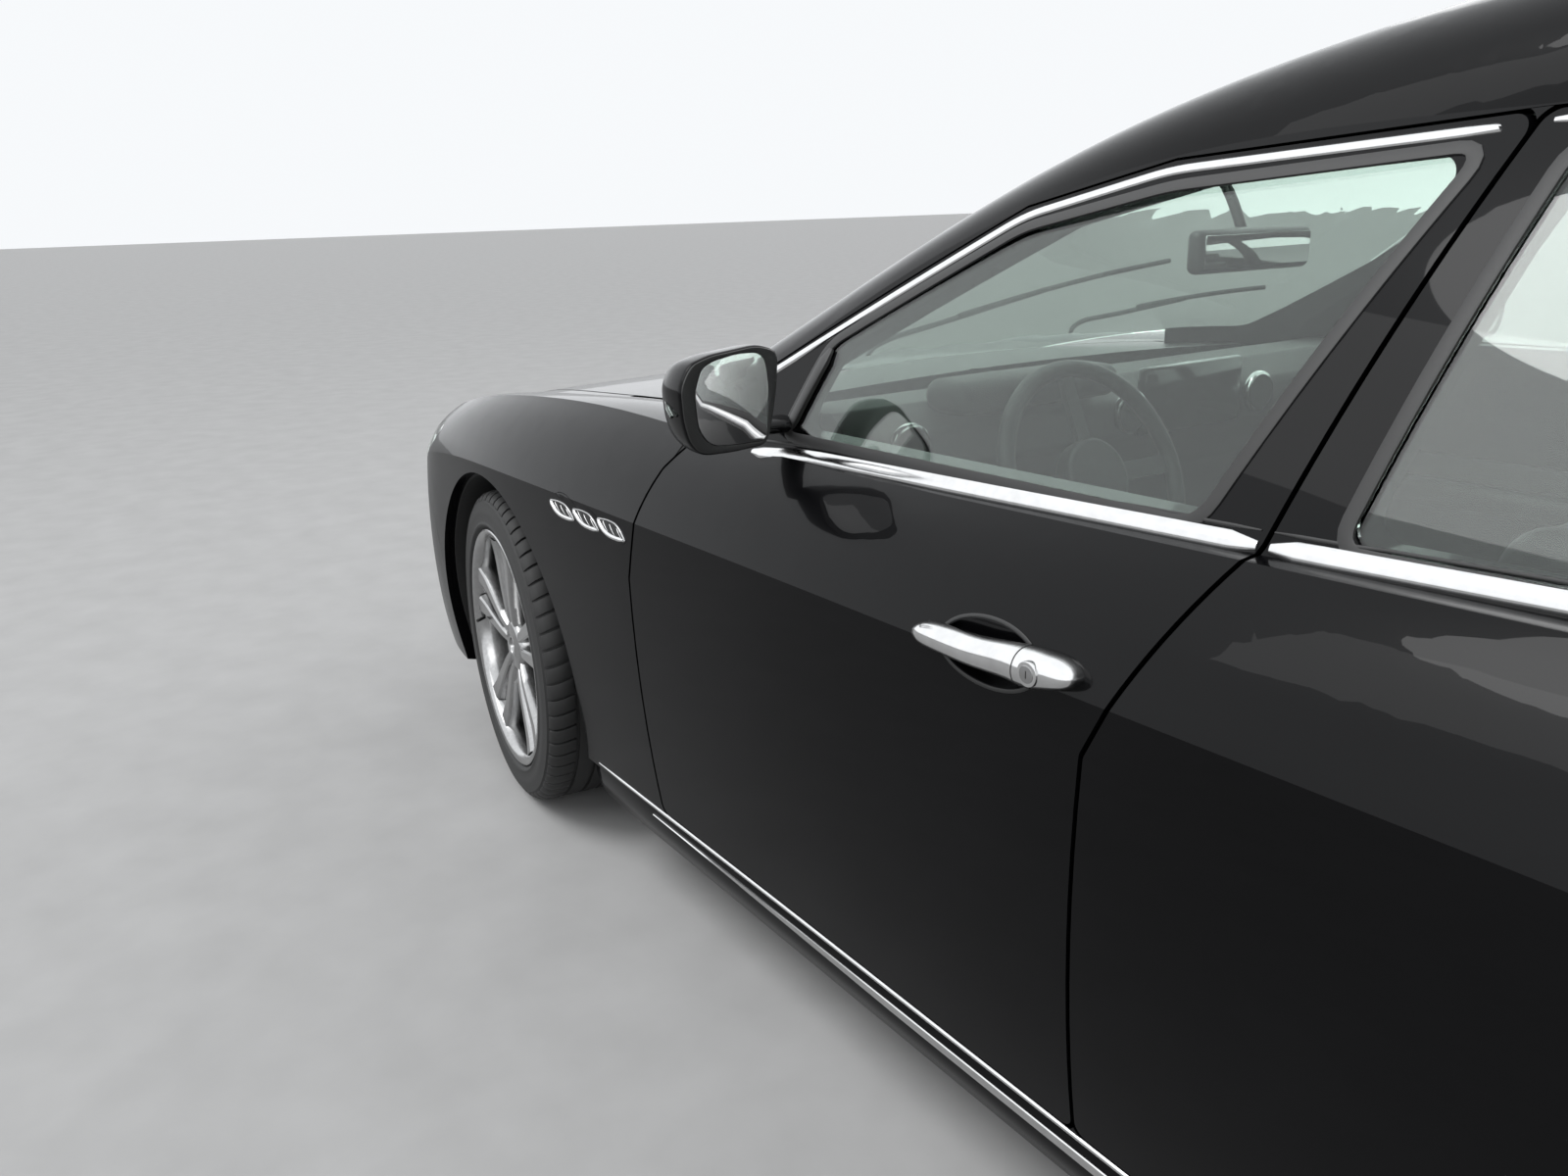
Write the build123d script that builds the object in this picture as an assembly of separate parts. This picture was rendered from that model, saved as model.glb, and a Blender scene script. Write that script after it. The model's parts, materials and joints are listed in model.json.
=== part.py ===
from build123d import *
import math
import os

# A long-wheelbase, four-door hearse on a sports saloon's front end, with a raised roof over a glazed coffin deck.
# Millimetres. X runs forward, Y to the car's left, Z up. The origin is on the ground under the middle of the car.
# Places along the car are given as s, the distance behind the front axle.

# Driving dimensions
wheelbase = 3800
front_overhang = 930
rear_overhang = 1200
kingpin_half = 775
kingpin_offset = 45
rear_half_track = 825
park_steer = 7

tyre_radius = 352
tyre_width = 245
rim_radius = 268
barrel_wall = 9
spoke_count = 5
disc_radius = 168
disc_thickness = 28
arch_radius = 400
liner_wall = 6

panel_gap = 6
gate_gap = 8
seam = 0.6
glass_gap = 0.4
skin = 26
roof_skin = 14
door_depth = 112
door_frame_depth = 44
cabin_depth = 156
cabin_rail_depth = 116
roof_wall = 88
shut_step = 14
frame_gap = 14
aperture_flange = 34
glass_inset = 3
glass_thickness = 5
belt_rise = 30
tail_wall = 60

sill_top = 245
sill_half = 930
waist_half = 960
crease_z = 800
ledge_z = 930
shelf_z = 1000
cargo_s = 2790
post_s = 762
pillar_foot_s = 540
cabin_s = 800
firewall_s = 600
firewall_thickness = 24
floor_top = 215
floor_thickness = 24
inner_half_width = 790
deck_height = 700
deck_thickness = 28
deck_half_width = 560
roller_radius = 22

front_axle_x = (front_overhang + wheelbase + rear_overhang) / 2 - front_overhang
rear_axle_x = front_axle_x - wheelbase
tail_s = wheelbase + rear_overhang

# Hinges: the doors' pins at their places along the car, and the tailgate's on the roof's rear edge
hinge_places = {"front": 740, "rear": 1740}
hinge_heights = (590, 740)
hinge_y = 954
hinge_pin = 4
leaf_radius = 6
frame_face = waist_half - door_depth - frame_gap
bonnet_axis = (520, 929)
bonnet_hinge_y = 600
bonnet_gap = 5
gate_hinge_y = 240
knuckle_radius = 7
hinge_at_gate = (4706.5, 1566)

# The side glass lies on one long cylinder: its centre (y, z) and its radius.
glass_centre = (-487, 437)
glass_radius = 1430

# The nose, the tail below the belt and the tailgate above it each curve in plan.
nose_radius = 1200
nose_wall = 70
tail_radius = 2400
gate_radius = 3200
gate_foot = (tail_s - 22, 960)
gate_top = (tail_s - 300, 1580)
gate_split_z = 1566


def at(s):
    """X of a place s behind the front axle."""
    return front_axle_x - s


# Outer skin below the belt, as cross-sections of the left half.
# Columns: s, floor edge, sill edge, waist, crease, crest, bonnet edge (each y, z), centre height
lower_sections = [
    (-front_overhang - 12, (380, 240), (490, 270), (540, 450), (525, 580), (480, 640), (380, 658), 672),
    (-840, (580, 205), (690, 232), (735, 450), (710, 625), (642, 702), (510, 718), 738),
    (-640, (730, 185), (846, 215), (880, 450), (862, 690), (775, 786), (640, 792), 812),
    (-330, (800, 180), (905, 210), (932, 450), (926, 748), (832, 864), (700, 862), 878),
    (60, (830, 180), (922, 225), (950, 500), (957, 778), (852, 916), (720, 904), 922),
    (500, (845, 180), (928, 232), (957, 500), (964, 788), (856, 938), (720, 934), 955),
    (800, (848, 180), (927, 235), (958, 500), (962, 791), (859, 934), (720, 935), 955),
    (1100, (850, 180), (926, 238), (959, 500), (961, 794), (862, 932), (720, 936), 956),
    (1650, (850, 180), (926, 238), (960, 500), (961, 798), (866, 946), (720, 951), 968),
    (2200, (850, 180), (926, 238), (961, 500), (961, 803), (870, 962), (720, 966), 980),
    (2750, (850, 180), (927, 238), (963, 500), (964, 805), (872, 976), (720, 981), 992),
    (wheelbase - 500, (850, 180), (928, 238), (965, 500), (967, 808), (874, 990), (720, 996), 1004),
    (wheelbase + 50, (840, 190), (928, 240), (970, 500), (974, 809), (872, 1000), (720, 1004), 1012),
    (wheelbase + 600, (800, 215), (902, 262), (948, 500), (950, 806), (846, 998), (700, 1000), 1008),
    (tail_s - 200, (720, 240), (822, 300), (872, 500), (864, 798), (780, 986), (650, 988), 998),
    (tail_s + 30, (560, 280), (660, 340), (715, 500), (705, 785), (640, 960), (520, 964), 974),
]

# Glasshouse and roof, as cross-sections of the left half. The cant rail is where side glass and roof meet.
# Columns: s, cant rail height, tuck of the side towards the middle, roof shoulder (y, z), centre height
upper_foot_z = 600
upper_sections = [
    (250, 720, 0, (805, 800), 885),
    (600, 872, 0, (780, 960), 1055),
    (950, 1068, 0, (700, 1140), 1245),
    (1330, 1276, 0, (570, 1345), 1410),
    (1930, 1350, 0, (500, 1484), 1545),
    (2700, 1382, 0, (490, 1558), 1630),
    (wheelbase - 300, 1402, 0, (480, 1582), 1655),
    (wheelbase + 500, 1398, 14, (468, 1562), 1636),
    (wheelbase + 850, 1385, 45, (440, 1522), 1596),
    (tail_s + 20, 1355, 130, (380, 1452), 1530),
]

# Small sizes of the nose, the underside and the wheels
grille_bars = 15
grille_pitch = 42
grille_bar = 7
grille_rim = 22
intake_slats = (285, 305, 325)
intake_corner = 18
tunnel_half = 150
tunnel_top = 400
rail_half = 445
rear_floor_z = 520
well_inner = 672
liner_inner = 481
disc_out = 16
hub_face = 36.5
joint_z = 104
subframe_half = 410
rail_top = 430
driver_y = 385
seat_z = 330
bench_z = 402
back_lean = 13
bench_lean = 5
wheel_tilt = math.radians(25)
deck_front_s = 2800
deck_rear_s = 4825
roller_count = 7
roller_pitch = 270
roller_y = 180
tray_z = 786
tailpipe_y = 420
tailpipe_z = 300
tailpipe_radius = 34
pipe_y = 105
pipe_radius = 20
final_z = 318

# Side-view lines as (s, z): the cant rail between the sections above, then the doors' cuts and the windows.
cant_line = [(640, 893), (840, 1006), (1130, 1170), (1315, 1272), (1516, 1320), (1895, 1347),
             (cargo_s, 1385), (wheelbase - 300, 1402), (wheelbase + 500, 1398), (wheelbase + 850, 1385),
             (tail_s + 20, 1355)]
middle_cut = [(1901, 1347), (1811, 962), (1706, 740), (1690, sill_top)]
front_cut = [(700, 690), (752, 880)]
front_door_line = [(706, sill_top)] + front_cut + [(840, 1006), (1130, 1170), (1315, 1272), (1516, 1320)] + middle_cut
rear_door_line = [(1901, 1347), (cargo_s, 1385), (cargo_s - 12, sill_top)] + middle_cut[:0:-1]
front_window_line = [(1003, 962), (1042, 1086), (1330, 1242), (1530, 1285), (1862, 1312), (1730, 970)]
rear_window_line = [(1885, 975), (1944, 1315), (2708, 1346), (2712, 992)]
cargo_window_line = [(2868, 1000), (2868, 1350), (wheelbase - 300, 1368), (wheelbase + 500, 1363), (4560, 1342),
                     (4740, 1010)]

# Side-view cuts of the nose and tail panels
headlamp_line = [(-1000, 560), (-1000, 640), (-720, 722), (-430, 806), (-420, 786), (-560, 672), (-700, 575)]
front_bumper_line = [(-1000, 100), (-1000, 760), (-785, 760), (-600, 700), (-435, 560), (-380, 420), (-380, 100)]
tail_lamp_line = [(4700, 745), (4712, 930), (5100, 930), (5100, 735)]
rear_bumper_line = [(4150, 100), (4150, 430), (4330, 615), (5100, 615), (5100, 100)]
lamp_inner_half = 430
lamp_corner = 6

# Rear-view outlines of the nose's openings: half-width, z
grille_line = [(250, 400), (325, 520), (315, 640)]
intake_line = [(400, 268), (455, 340)]

# The wings' vents and the doors' handles in the side view
vents = [(459, 776), (553, 768), (647, 759)]
vent_depth = 12
handles = {"front": 1560, "rear": 2650}
handle_z = 807
bowl_depth = 14
handle_line = [(-113, 3), (-60, 13), (60, 15), (113, 8), (113, -8), (60, -15), (-60, -12), (-113, -4)]

# The door mirror's rear outline as (y, z) about its middle, and how it narrows to the front as (s, share)
mirror_middle = (978, 1029)
mirror_line = [(-86, -58), (-78, 62), (-20, 78), (60, 64), (88, 6), (44, -76)]
mirror_corner = 30
mirror_sections = [(1064, 1), (1020, 0.94), (988, 0.6)]

# Plan and rear outlines of the left half
# Bonnet and windscreen in plan: s, y. Tailgate and its glass from behind: y, z
bonnet_line = [(-822, 0), (-800, 430), (-640, 560), (-300, 655), (200, 700), (494, 712), (420, 420), (372, 0)]
screen_line = [(300, 0), (620, 742), (950, 708), (1270, 612), (1340, 480), (1390, 0)]
gate_line = [(560, 640), (600, 930), (588, 1090), (362, gate_split_z)]
gate_window_line = [(510, 1022), (500, 1110), (320, 1492)]


def on_circle(z, inset=0):
    """Half-width of the side glass's cylinder at a height."""
    return glass_centre[0] + math.sqrt((glass_radius - inset) ** 2 - (z - glass_centre[1]) ** 2)


def bulged(p, q, bulge):
    """Middle point of an arc from p up to q that stands bulge further out than the chord."""
    dy, dz = q[0] - p[0], q[1] - p[1]
    length = math.hypot(dy, dz)
    return ((p[0] + q[0]) / 2 + dz / length * bulge, (p[1] + q[1]) / 2 - dy / length * bulge)


def section_wire(s, left_edges, top_middle):
    """A closed cross-section: left_edges holds (start, middle or None, end) up the left side from the floor."""
    x = at(s)

    def edge(a, m, b):
        return Edge.make_line((x, *a), (x, *b)) if m is None else Edge.make_three_point_arc((x, *a), (x, *m), (x, *b))

    def flip(p):
        return None if p is None else (-p[0], p[1])

    foot, top = left_edges[0][0], left_edges[-1][2]
    edges = [edge(flip(foot), None, foot)]
    edges += [edge(a, m, b) for a, m, b in left_edges]
    edges.append(edge(top, (0, top_middle), flip(top)))
    edges += [edge(flip(b), flip(m), flip(a)) for a, m, b in reversed(left_edges)]
    return Wire(edges)


def lower_wire(row, side=0, rail=0, top=0, floor=0, lift=None):
    """A lower cross-section, inset at the side, the crest rail, the top and the floor.

    With lift, its top stands that far above the crest instead, inside the glasshouse."""
    s, floor_edge, sill, waist, crease, crest, bonnet_edge, middle = row
    floor_edge = (floor_edge[0] - side, floor_edge[1] + floor)
    sill = (sill[0] - side, sill[1] + floor)
    waist = (waist[0] - side, waist[1])
    crease = (crease[0] - side, crease[1] - top * 0.3)
    rise = -top if lift is None else lift
    crest = (crest[0] - rail, crest[1] + rise)
    bonnet_edge = (min(bonnet_edge[0] - rail, crest[0] - 40), bonnet_edge[1] + rise)
    left = [(floor_edge, None, sill), (sill, waist, crease), (crease, bulged(crease, crest, 14), crest),
            (crest, bulged(crest, bonnet_edge, 4), bonnet_edge)]
    return section_wire(s, left, middle + rise)


def upper_wire(row, inset=0):
    """A glasshouse cross-section, inset all round: side glass, a shoulder tangent to the roof, and the roof."""
    s, cant_z, tuck, shoulder, middle = row
    drop = middle - shoulder[1]
    roof_radius = (shoulder[0] ** 2 + drop**2) / (2 * drop)
    out = (shoulder[0] / roof_radius, (shoulder[1] - middle + roof_radius) / roof_radius)
    lean = math.asin((cant_z - glass_centre[1]) / glass_radius)
    foot = (on_circle(upper_foot_z, inset) - tuck, upper_foot_z)
    cant = (on_circle(cant_z) - tuck - inset * math.cos(lean), cant_z - inset * math.sin(lean))
    between_z = (upper_foot_z + cant[1]) / 2
    shoulder = (shoulder[0] - inset * out[0], shoulder[1] - inset * out[1])
    dy, dz = cant[0] - shoulder[0], cant[1] - shoulder[1]
    chord = math.hypot(dy, dz)
    turn = math.acos((out[1] * dy - out[0] * dz) / chord)
    sag = chord / 2 * math.tan(turn / 2)
    fillet_middle = ((shoulder[0] + cant[0]) / 2 - dz / chord * sag, (shoulder[1] + cant[1]) / 2 + dy / chord * sag)
    left = [(foot, (on_circle(between_z, inset) - tuck, between_z), cant), (cant, fillet_middle, shoulder)]
    return section_wire(s, left, middle - inset)


def upright(radius, s, z=0, lean=0):
    """A tall upright cylinder round (s, z), leaning forward by an angle in degrees."""
    return Solid.make_cylinder(radius, 5000).moved(Location((0, 0, -2500))).moved(Location((at(s), 0, z), (0, lean, 0)))


gate_lean = math.degrees(math.atan2(gate_foot[0] - gate_top[0], gate_top[1] - gate_foot[1]))


def nose_form(inset=0):
    """A long form with the nose's curve in plan."""
    middle, radius = nose_radius - front_overhang, nose_radius - inset
    return upright(radius, middle) + slab(middle, tail_s + 500, -radius, radius, -2500, 2500)


def tail_form(inset=0):
    """A long form with the tail's curve in plan, for below the belt."""
    middle, radius = tail_s - tail_radius, tail_radius - inset
    return upright(radius, middle) + slab(-1500, middle, -radius, radius, -2500, 2500)


def gate_form(inset=0):
    """The leaning cylinder whose back is the tailgate above the belt."""
    return upright(gate_radius - inset, gate_foot[0] - gate_radius / math.cos(math.radians(gate_lean)), gate_foot[1],
                   gate_lean)


def lower_form():
    body = Solid.make_loft([lower_wire(row) for row in lower_sections])
    return body & nose_form() & tail_form()


def upper_form(inset=0, tail=None):
    tail = inset if tail is None else tail
    body = Solid.make_loft([upper_wire(row, inset) for row in upper_sections])
    return body & gate_form(tail) & tail_form(tail)


def sheet_form():
    """The space under the outer panels below the belt."""
    low = Solid.make_loft([lower_wire(row, skin, skin, skin, skin) for row in lower_sections])
    return low & nose_form(nose_wall) & tail_form(tail_wall)


def cabin_form():
    """The space inside the car, from the firewall to the tailgate."""
    wires = []
    for row in lower_sections:
        if row[0] > 400:
            lift = belt_rise if row[0] > cabin_s else -2 * skin
            wires.append(lower_wire(row, cabin_depth, cabin_rail_depth, floor=floor_top - 180, lift=lift))
    low = Solid.make_loft(wires) & tail_form(tail_wall * 1.5)
    return low + (upper_form(roof_wall, tail_wall) & slab(-1000, 6000, -1000, 1000, crease_z + 50, 1800))


def door_form(side, glass, shelf_z):
    """The space inside of the doors at the given depths: at the side, and at the window frame above the shelf.

    The doors lie where the car's section hardly changes, so one section serves for all of them."""
    top_z = 1450
    middle_z = (shelf_z + top_z) / 2
    line = Polyline((0, 150), (sill_half - side, 150), (sill_half - side, sill_top), (waist_half - side, 450),
                    (waist_half - side, crease_z), (on_circle(shelf_z, glass), shelf_z))
    arc = ThreePointArc(line @ 1, (on_circle(middle_z, glass), middle_z), (on_circle(top_z, glass), top_z))
    top = Polyline(arc @ 1, (0, top_z), (0, 150))
    face = make_face(line + arc + top)
    return extrude(face.face(), amount=cargo_s - 600).moved(rear_plane.location).moved(Location((-cargo_s - 40, 0, 0))).solid()


def slab(s0, s1, y0, y1, z0, z1):
    """A box between two places along the car, two widths and two heights."""
    return Solid.make_box(s1 - s0, y1 - y0, z1 - z0).moved(Location((at(s1), y0, z0)))


def prism(points, start, length, plane, grow=0, radius=20):
    """A rounded outline, grown or shrunk, made into a prism."""
    face = make_face(FilletPolyline(*points, radius=radius, close=True))
    if grow:
        face = offset(face, grow, kind=Kind.ARC)
    return extrude(face.face().moved(Location((0, 0, start))), amount=length).moved(plane.location).solid()


# Local axes of the three kinds of outline: side (s backwards as x), plan and rear
side_plane = Plane(origin=(front_axle_x, 0, 0), x_dir=(-1, 0, 0), z_dir=(0, 1, 0))
rear_plane = Plane(origin=(front_axle_x, 0, 0), x_dir=(0, 1, 0), z_dir=(1, 0, 0))
plan_plane = Plane(origin=(front_axle_x, 0, 0), x_dir=(1, 0, 0), z_dir=(0, 0, 1))


def side_prism(points, y0, y1, grow=0, radius=20):
    """A prism of a side outline of (s, z), from y0 to y1."""
    return prism(points, y0, y1 - y0, side_plane, grow, radius)


def both_sides(points):
    """A half outline of (a, y), or (y, z) swapped, closed with its mirror image."""
    return points + [(a, -y) for a, y in reversed(points) if y]


def plan_prism(points, z0, z1, grow=0, radius=40):
    """A prism of a plan outline of (s, y), from z0 to z1."""
    return prism([(-s, y) for s, y in both_sides(points)], z0, z1 - z0, plan_plane, grow, radius)


def rear_prism(points, s0, s1, grow=0, radius=40):
    """A prism of a rear outline of (y, z), between two places."""
    loop = points + [(-y, z) for y, z in reversed(points)]
    return prism(loop, -s1, s1 - s0, rear_plane, grow, radius)


def oval(s, z, half_s, half_z, y0, y1, turn=0):
    """An elliptical prism along Y, turned by an angle in the side view."""
    face = Ellipse(half_s, half_z).face().moved(Location((s, z, y0), (0, 0, turn)))
    return extrude(face, amount=y1 - y0).moved(side_plane.location).solid()


def across(radius, s, z, y0, y1):
    """A cylinder along Y between two widths."""
    return Solid.make_cylinder(radius, y1 - y0).moved(Location((at(s), y1, z), (90, 0, 0)))


def rod(a, b, radius):
    """A round bar between two points given as (s, y, z)."""
    p, q = Vector(at(a[0]), a[1], a[2]), Vector(at(b[0]), b[1], b[2])
    return Solid.make_cylinder(radius, (q - p).length, Plane(origin=p, z_dir=q - p))


def mirrored(shape):
    """The right-hand copy of a left-hand piece."""
    return shape.mirror(Plane.XZ)


def main():
    os.makedirs("parts", exist_ok=True)
    nodes = {}
    lower, sheet, cabin = lower_form(), sheet_form(), cabin_form()
    panels(nodes, lower, sheet, cabin)
    nose_details(nodes)
    chassis(nodes, sheet, cabin)
    wheels(nodes)
    suspension(nodes)
    interior(nodes, cabin)
    fittings(nodes, lower)
    for name, shape in nodes.items():
        export_step(shape, f"parts/{name}.step")


def panels(nodes, lower, sheet, cabin):
    """Every panel and window, cut from the same nested forms."""
    upper = upper_form()
    outer = lower + upper
    pane_out, pane_in = upper_form(glass_inset), upper_form(glass_inset + glass_thickness)
    half_gap = panel_gap / 2

    door_skin = door_form(skin, roof_skin, ledge_z)
    door_inner = door_form(door_depth, door_frame_depth, shelf_z)
    frame_outer = door_form(door_depth + frame_gap, door_frame_depth + frame_gap, shelf_z)
    pane = upright_pane()
    door_cuts, leaves = [], []
    for place, line, window in (("front", front_door_line, front_window_line),
                                ("rear", rear_door_line, rear_window_line)):
        opening = side_prism(window, 200, 1100, radius=25)
        panel = (outer & side_prism(line, 300, 1100, -half_gap)) - door_skin
        core = (door_skin & side_prism(line, 300, 1100, -half_gap - shut_step)) - door_inner
        bowl = oval(handles[place], handle_z, 74, 33, waist_half - bowl_depth, 1100)
        door = (panel + core) - opening - bowl
        for z in hinge_heights:
            pocket, pin, leaf = door_hinge(hinge_places[place], z)
            door = (door - pocket) + pin
            leaves.append(leaf)
        both(nodes, f"door_{place}", main_solid(door))
        both(nodes, f"door_glass_{place}", side_prism(window, 200, 1100, -glass_gap, 25) & pane)
        door_cuts.append(side_prism(line, 300, 1100, half_gap) - frame_outer)
        door_cuts.append(side_prism(line, 300, 1100, half_gap - aperture_flange))

    gate_cut = rear_prism(gate_line, 4594, 5300, gate_gap / 2)
    lamp_cut = side_prism(tail_lamp_line, 0, 1100, seam)
    bumper_cut = side_prism(rear_bumper_line, 0, 1100, seam)
    arch = across(arch_radius, wheelbase, tyre_radius, 600, 1100)
    cant = [(s, z) for s, z in cant_line if s > cabin_s - 10]
    side_line = [(post_s, 150), (post_s, 890), (post_s + 10, 955)] + cant + [(5150, 1345), (5150, 150)]
    side = (outer & side_prism(side_line, 300, 1100, -seam / 2, 5)) + (sheet & slab(640, post_s + 20, 600, 1000, 216, 950))
    side = (side - cabin).cut(*door_cuts, gate_cut, lamp_cut, bumper_cut, arch,
                              side_prism(cargo_window_line, 200, 1100, radius=30),
                              slab(500, 5200, 0, inner_half_width, 100, 262))
    both(nodes, "side", main_solid(main_solid(side) + leaves))
    nodes["cargo_glass"] = pair((pane_out & side_prism(cargo_window_line, 200, 1100, -glass_gap, 30)) - pane_in)

    above = side_prism(cant_line + [(5200, 1330), (5200, 1900), (250, 1900), (250, 690)], -1100, 1100, -seam / 2, 5)
    roof = (upper & above) - cabin
    roof = roof.cut(lower, plan_prism(screen_line, 600, 1700), gate_cut, slab(200, pillar_foot_s, -1100, 1100, 600, 1200))
    knuckles, gate_knuckles, gate_clear = [], [], []
    for y in (-gate_hinge_y, gate_hinge_y):
        ends, middle, clear_ends, clear_middle = gate_hinge(y)
        roof = roof - clear_middle
        knuckles += ends
        gate_knuckles.append(middle)
        gate_clear += clear_ends
    nodes["roof"] = main_solid(roof + knuckles)
    screen = (pane_out & plan_prism(screen_line, 600, 1700, -glass_gap)) - pane_in - lower
    nodes["windscreen"] = screen

    gate = (outer & rear_prism(gate_line, 4600, 5300, -gate_gap / 2)) - cabin
    rim = rear_prism(gate_line, 4500, 5400) - rear_prism(gate_line, 4500, 5400, -gate_gap / 2 - shut_step)
    gate = gate.cut(rear_prism(gate_window_line, 4300, 5300), rim & gate_form(roof_skin) & tail_form(roof_skin))
    nodes["tailgate"] = main_solid(gate.cut(*gate_clear) + gate_knuckles)
    rear_pane = rear_prism(gate_window_line, 4300, 5300, -glass_gap)
    nodes["tailgate_glass"] = (rear_pane & gate_form(glass_inset)) - gate_form(glass_inset + glass_thickness)

    metal = lower - sheet
    lid = plan_prism(bonnet_line, 660, 1100, -half_gap)
    bonnet = metal & lid & lid.moved(Location((-bonnet_gap, 0, 0)))
    bonnet_arms = [bonnet_arm(y) for y in (-bonnet_hinge_y, bonnet_hinge_y)]
    bonnet_bores = [across(hinge_pin + 0.3, *bonnet_axis, y - 20, y + 20) for y in (-bonnet_hinge_y, bonnet_hinge_y)]
    nodes["bonnet"] = main_solid((bonnet + bonnet_arms).cut(*bonnet_bores))
    bonnet_cut = plan_prism(bonnet_line, 500, 1100, half_gap)
    lamp = side_prism(headlamp_line, lamp_inner_half, 1000, -seam / 2, lamp_corner)
    lamps = [side_prism(headlamp_line, lamp_inner_half - seam, 1000, seam / 2, lamp_corner)]
    lamps.append(mirrored(lamps[0]))
    headlamp = (metal & lamp) - bonnet_cut
    nodes["headlamps"] = pair(headlamp)
    front_arch = across(arch_radius, 0, tyre_radius, 480, 1100)
    arches = [front_arch, mirrored(front_arch)]
    bumper = metal & side_prism(front_bumper_line, -1100, 1100, -seam / 2)
    bumper = bumper.cut(*lamps, *arches, bonnet_cut, rear_prism(grille_line, -1100, -700),
                        rear_prism(intake_line, -1100, -700, 0, intake_corner))
    nodes["front_bumper"] = bumper
    wing_line = [(-900, 100), (-900, 900), (0, 1100), (900, 1100), (900, 100)]
    wing = (metal & side_prism(wing_line, 300, 1100)) - cabin
    wing = wing.cut(side_prism(front_bumper_line, -1100, 1100, seam / 2), *lamps, front_arch, bonnet_cut,
                    side_prism(front_door_line, 300, 1100, half_gap), slab(post_s - 0.3, 1200, 0, 1200, 100, 1300),
                    slab(250, 1200, 0, 716, 600, 1300), slab(-900, 1200, 0, 760, 100, 400),
                    slab(firewall_s + firewall_thickness, 1200, 0, inner_half_width, 100, 400),
                    *[oval(s, z, 43, 12, waist_half - vent_depth, 1100, -6) for s, z in vents])
    nodes["wings"] = pair(main_solid(wing))
    cowl = metal & slab(330, 640, -715, 715, 700, 1200)
    slots = [slab(400, bonnet_axis[0] + 12, y - 13, y + 13, 700, 1200) for y in (-bonnet_hinge_y, bonnet_hinge_y)]
    cowl = cowl.cut(plan_prism(bonnet_line, 500, 1100, panel_gap * 2 - half_gap), *slots)
    pins = [across(hinge_pin, *bonnet_axis, y - 20, y + 20) for y in (-bonnet_hinge_y, bonnet_hinge_y)]
    nodes["cowl"] = main_solid(main_solid(cowl) + pins)
    rear = (metal & side_prism(rear_bumper_line, -1100, 1100, -seam / 2))
    notches = [rod((tail_s - 300, y, tailpipe_z), (tail_s + 100, y, tailpipe_z), tailpipe_radius + panel_gap)
               for y in (-tailpipe_y, tailpipe_y)]
    rear = rear.cut(arch, mirrored(arch), gate_cut, slab(4100, tail_s - 130, -700, 700, 100, 330), *notches)
    nodes["rear_bumper"] = rear
    tail_lamp = (lower & side_prism(tail_lamp_line, 300, 1100, -seam / 2)) - sheet - gate_cut
    nodes["tail_lamps"] = pair(tail_lamp)


def door_hinge(s, z):
    """A door hinge at a height: the pocket in the door, the pin across it, and the post's leaf round the pin."""
    pocket = slab(s - 50, s + 18, frame_face - 8, hinge_y + leaf_radius + 0.7, z - 32, z + 32)
    pin = Solid.make_cylinder(hinge_pin, 80).moved(Location((at(s), hinge_y, z - 40)))
    leaf = slab(s - 30, s + 10, frame_face - 8, frame_face + 10, z - 20, z + 20)
    leaf = leaf + slab(s - leaf_radius, s + leaf_radius, frame_face, hinge_y, z - 20, z + 20)
    leaf = leaf + Solid.make_cylinder(leaf_radius, 40).moved(Location((at(s), hinge_y, z - 20)))
    return pocket, pin, leaf - Solid.make_cylinder(hinge_pin + 0.3, 42).moved(Location((at(s), hinge_y, z - 21)))


def bonnet_arm(y):
    """The bonnet's arm with its knuckle, which turns on the cowl's pin."""
    s, z = bonnet_axis
    return slab(s - 90, s, y - 6, y + 6, z - 19, z - 5) + across(knuckle_radius + 1, s, z, y - 6, y + 6)


def gate_hinge(y):
    """A tailgate hinge: the roof's two knuckles on their pin, and the gate's knuckle between them."""
    s, z = hinge_at_gate
    ends = [across(3, s, z, y - 31, y + 31)]
    for y0, y1 in ((y - 32, y - 11), (y + 11, y + 32)):
        ends += [across(knuckle_radius, s, z, y0, y1), slab(s - 26, s, y0, y1, z + 1, z + knuckle_radius)]
    middle = across(knuckle_radius, s, z, y - 10.7, y + 10.7) + slab(s - 26, s, y - 10.7, y + 10.7, z - knuckle_radius, z - 1)
    middle = middle - across(3.3, s, z, y - 12, y + 12)
    clear_ends = [across(knuckle_radius + 1, s, z, y - 33, y - 10.7), across(knuckle_radius + 1, s, z, y + 10.7, y + 33)]
    clear_middle = across(knuckle_radius + 1, s, z, y - 11, y + 11)
    return ends, middle, clear_ends, clear_middle


def upright_pane():
    """The curved sheet that every door glass is cut from."""
    sheet = across_x(glass_radius - glass_inset) - across_x(glass_radius - glass_inset - glass_thickness)
    return sheet & slab(600, cargo_s + 60, 300, 1100, 900, 1450)


def across_x(radius):
    """The side glass's long cylinder with another radius."""
    return Solid.make_cylinder(radius, cargo_s, Plane((at(cargo_s + 100), *glass_centre), z_dir=(1, 0, 0)))


def both(nodes, name, shape):
    """A left-hand piece and its mirror image, as two nodes."""
    nodes[f"{name}_left"] = shape
    nodes[f"{name}_right"] = mirrored(shape)


def pair(shape):
    """A left-hand piece and its mirror image in one node."""
    return Compound(children=[shape.solid(), mirrored(shape.solid())])


def main_solid(shape):
    """The largest solid of a cut, without the slivers that the cut leaves."""
    return max(shape.solids(), key=lambda solid: solid.volume)


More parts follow.
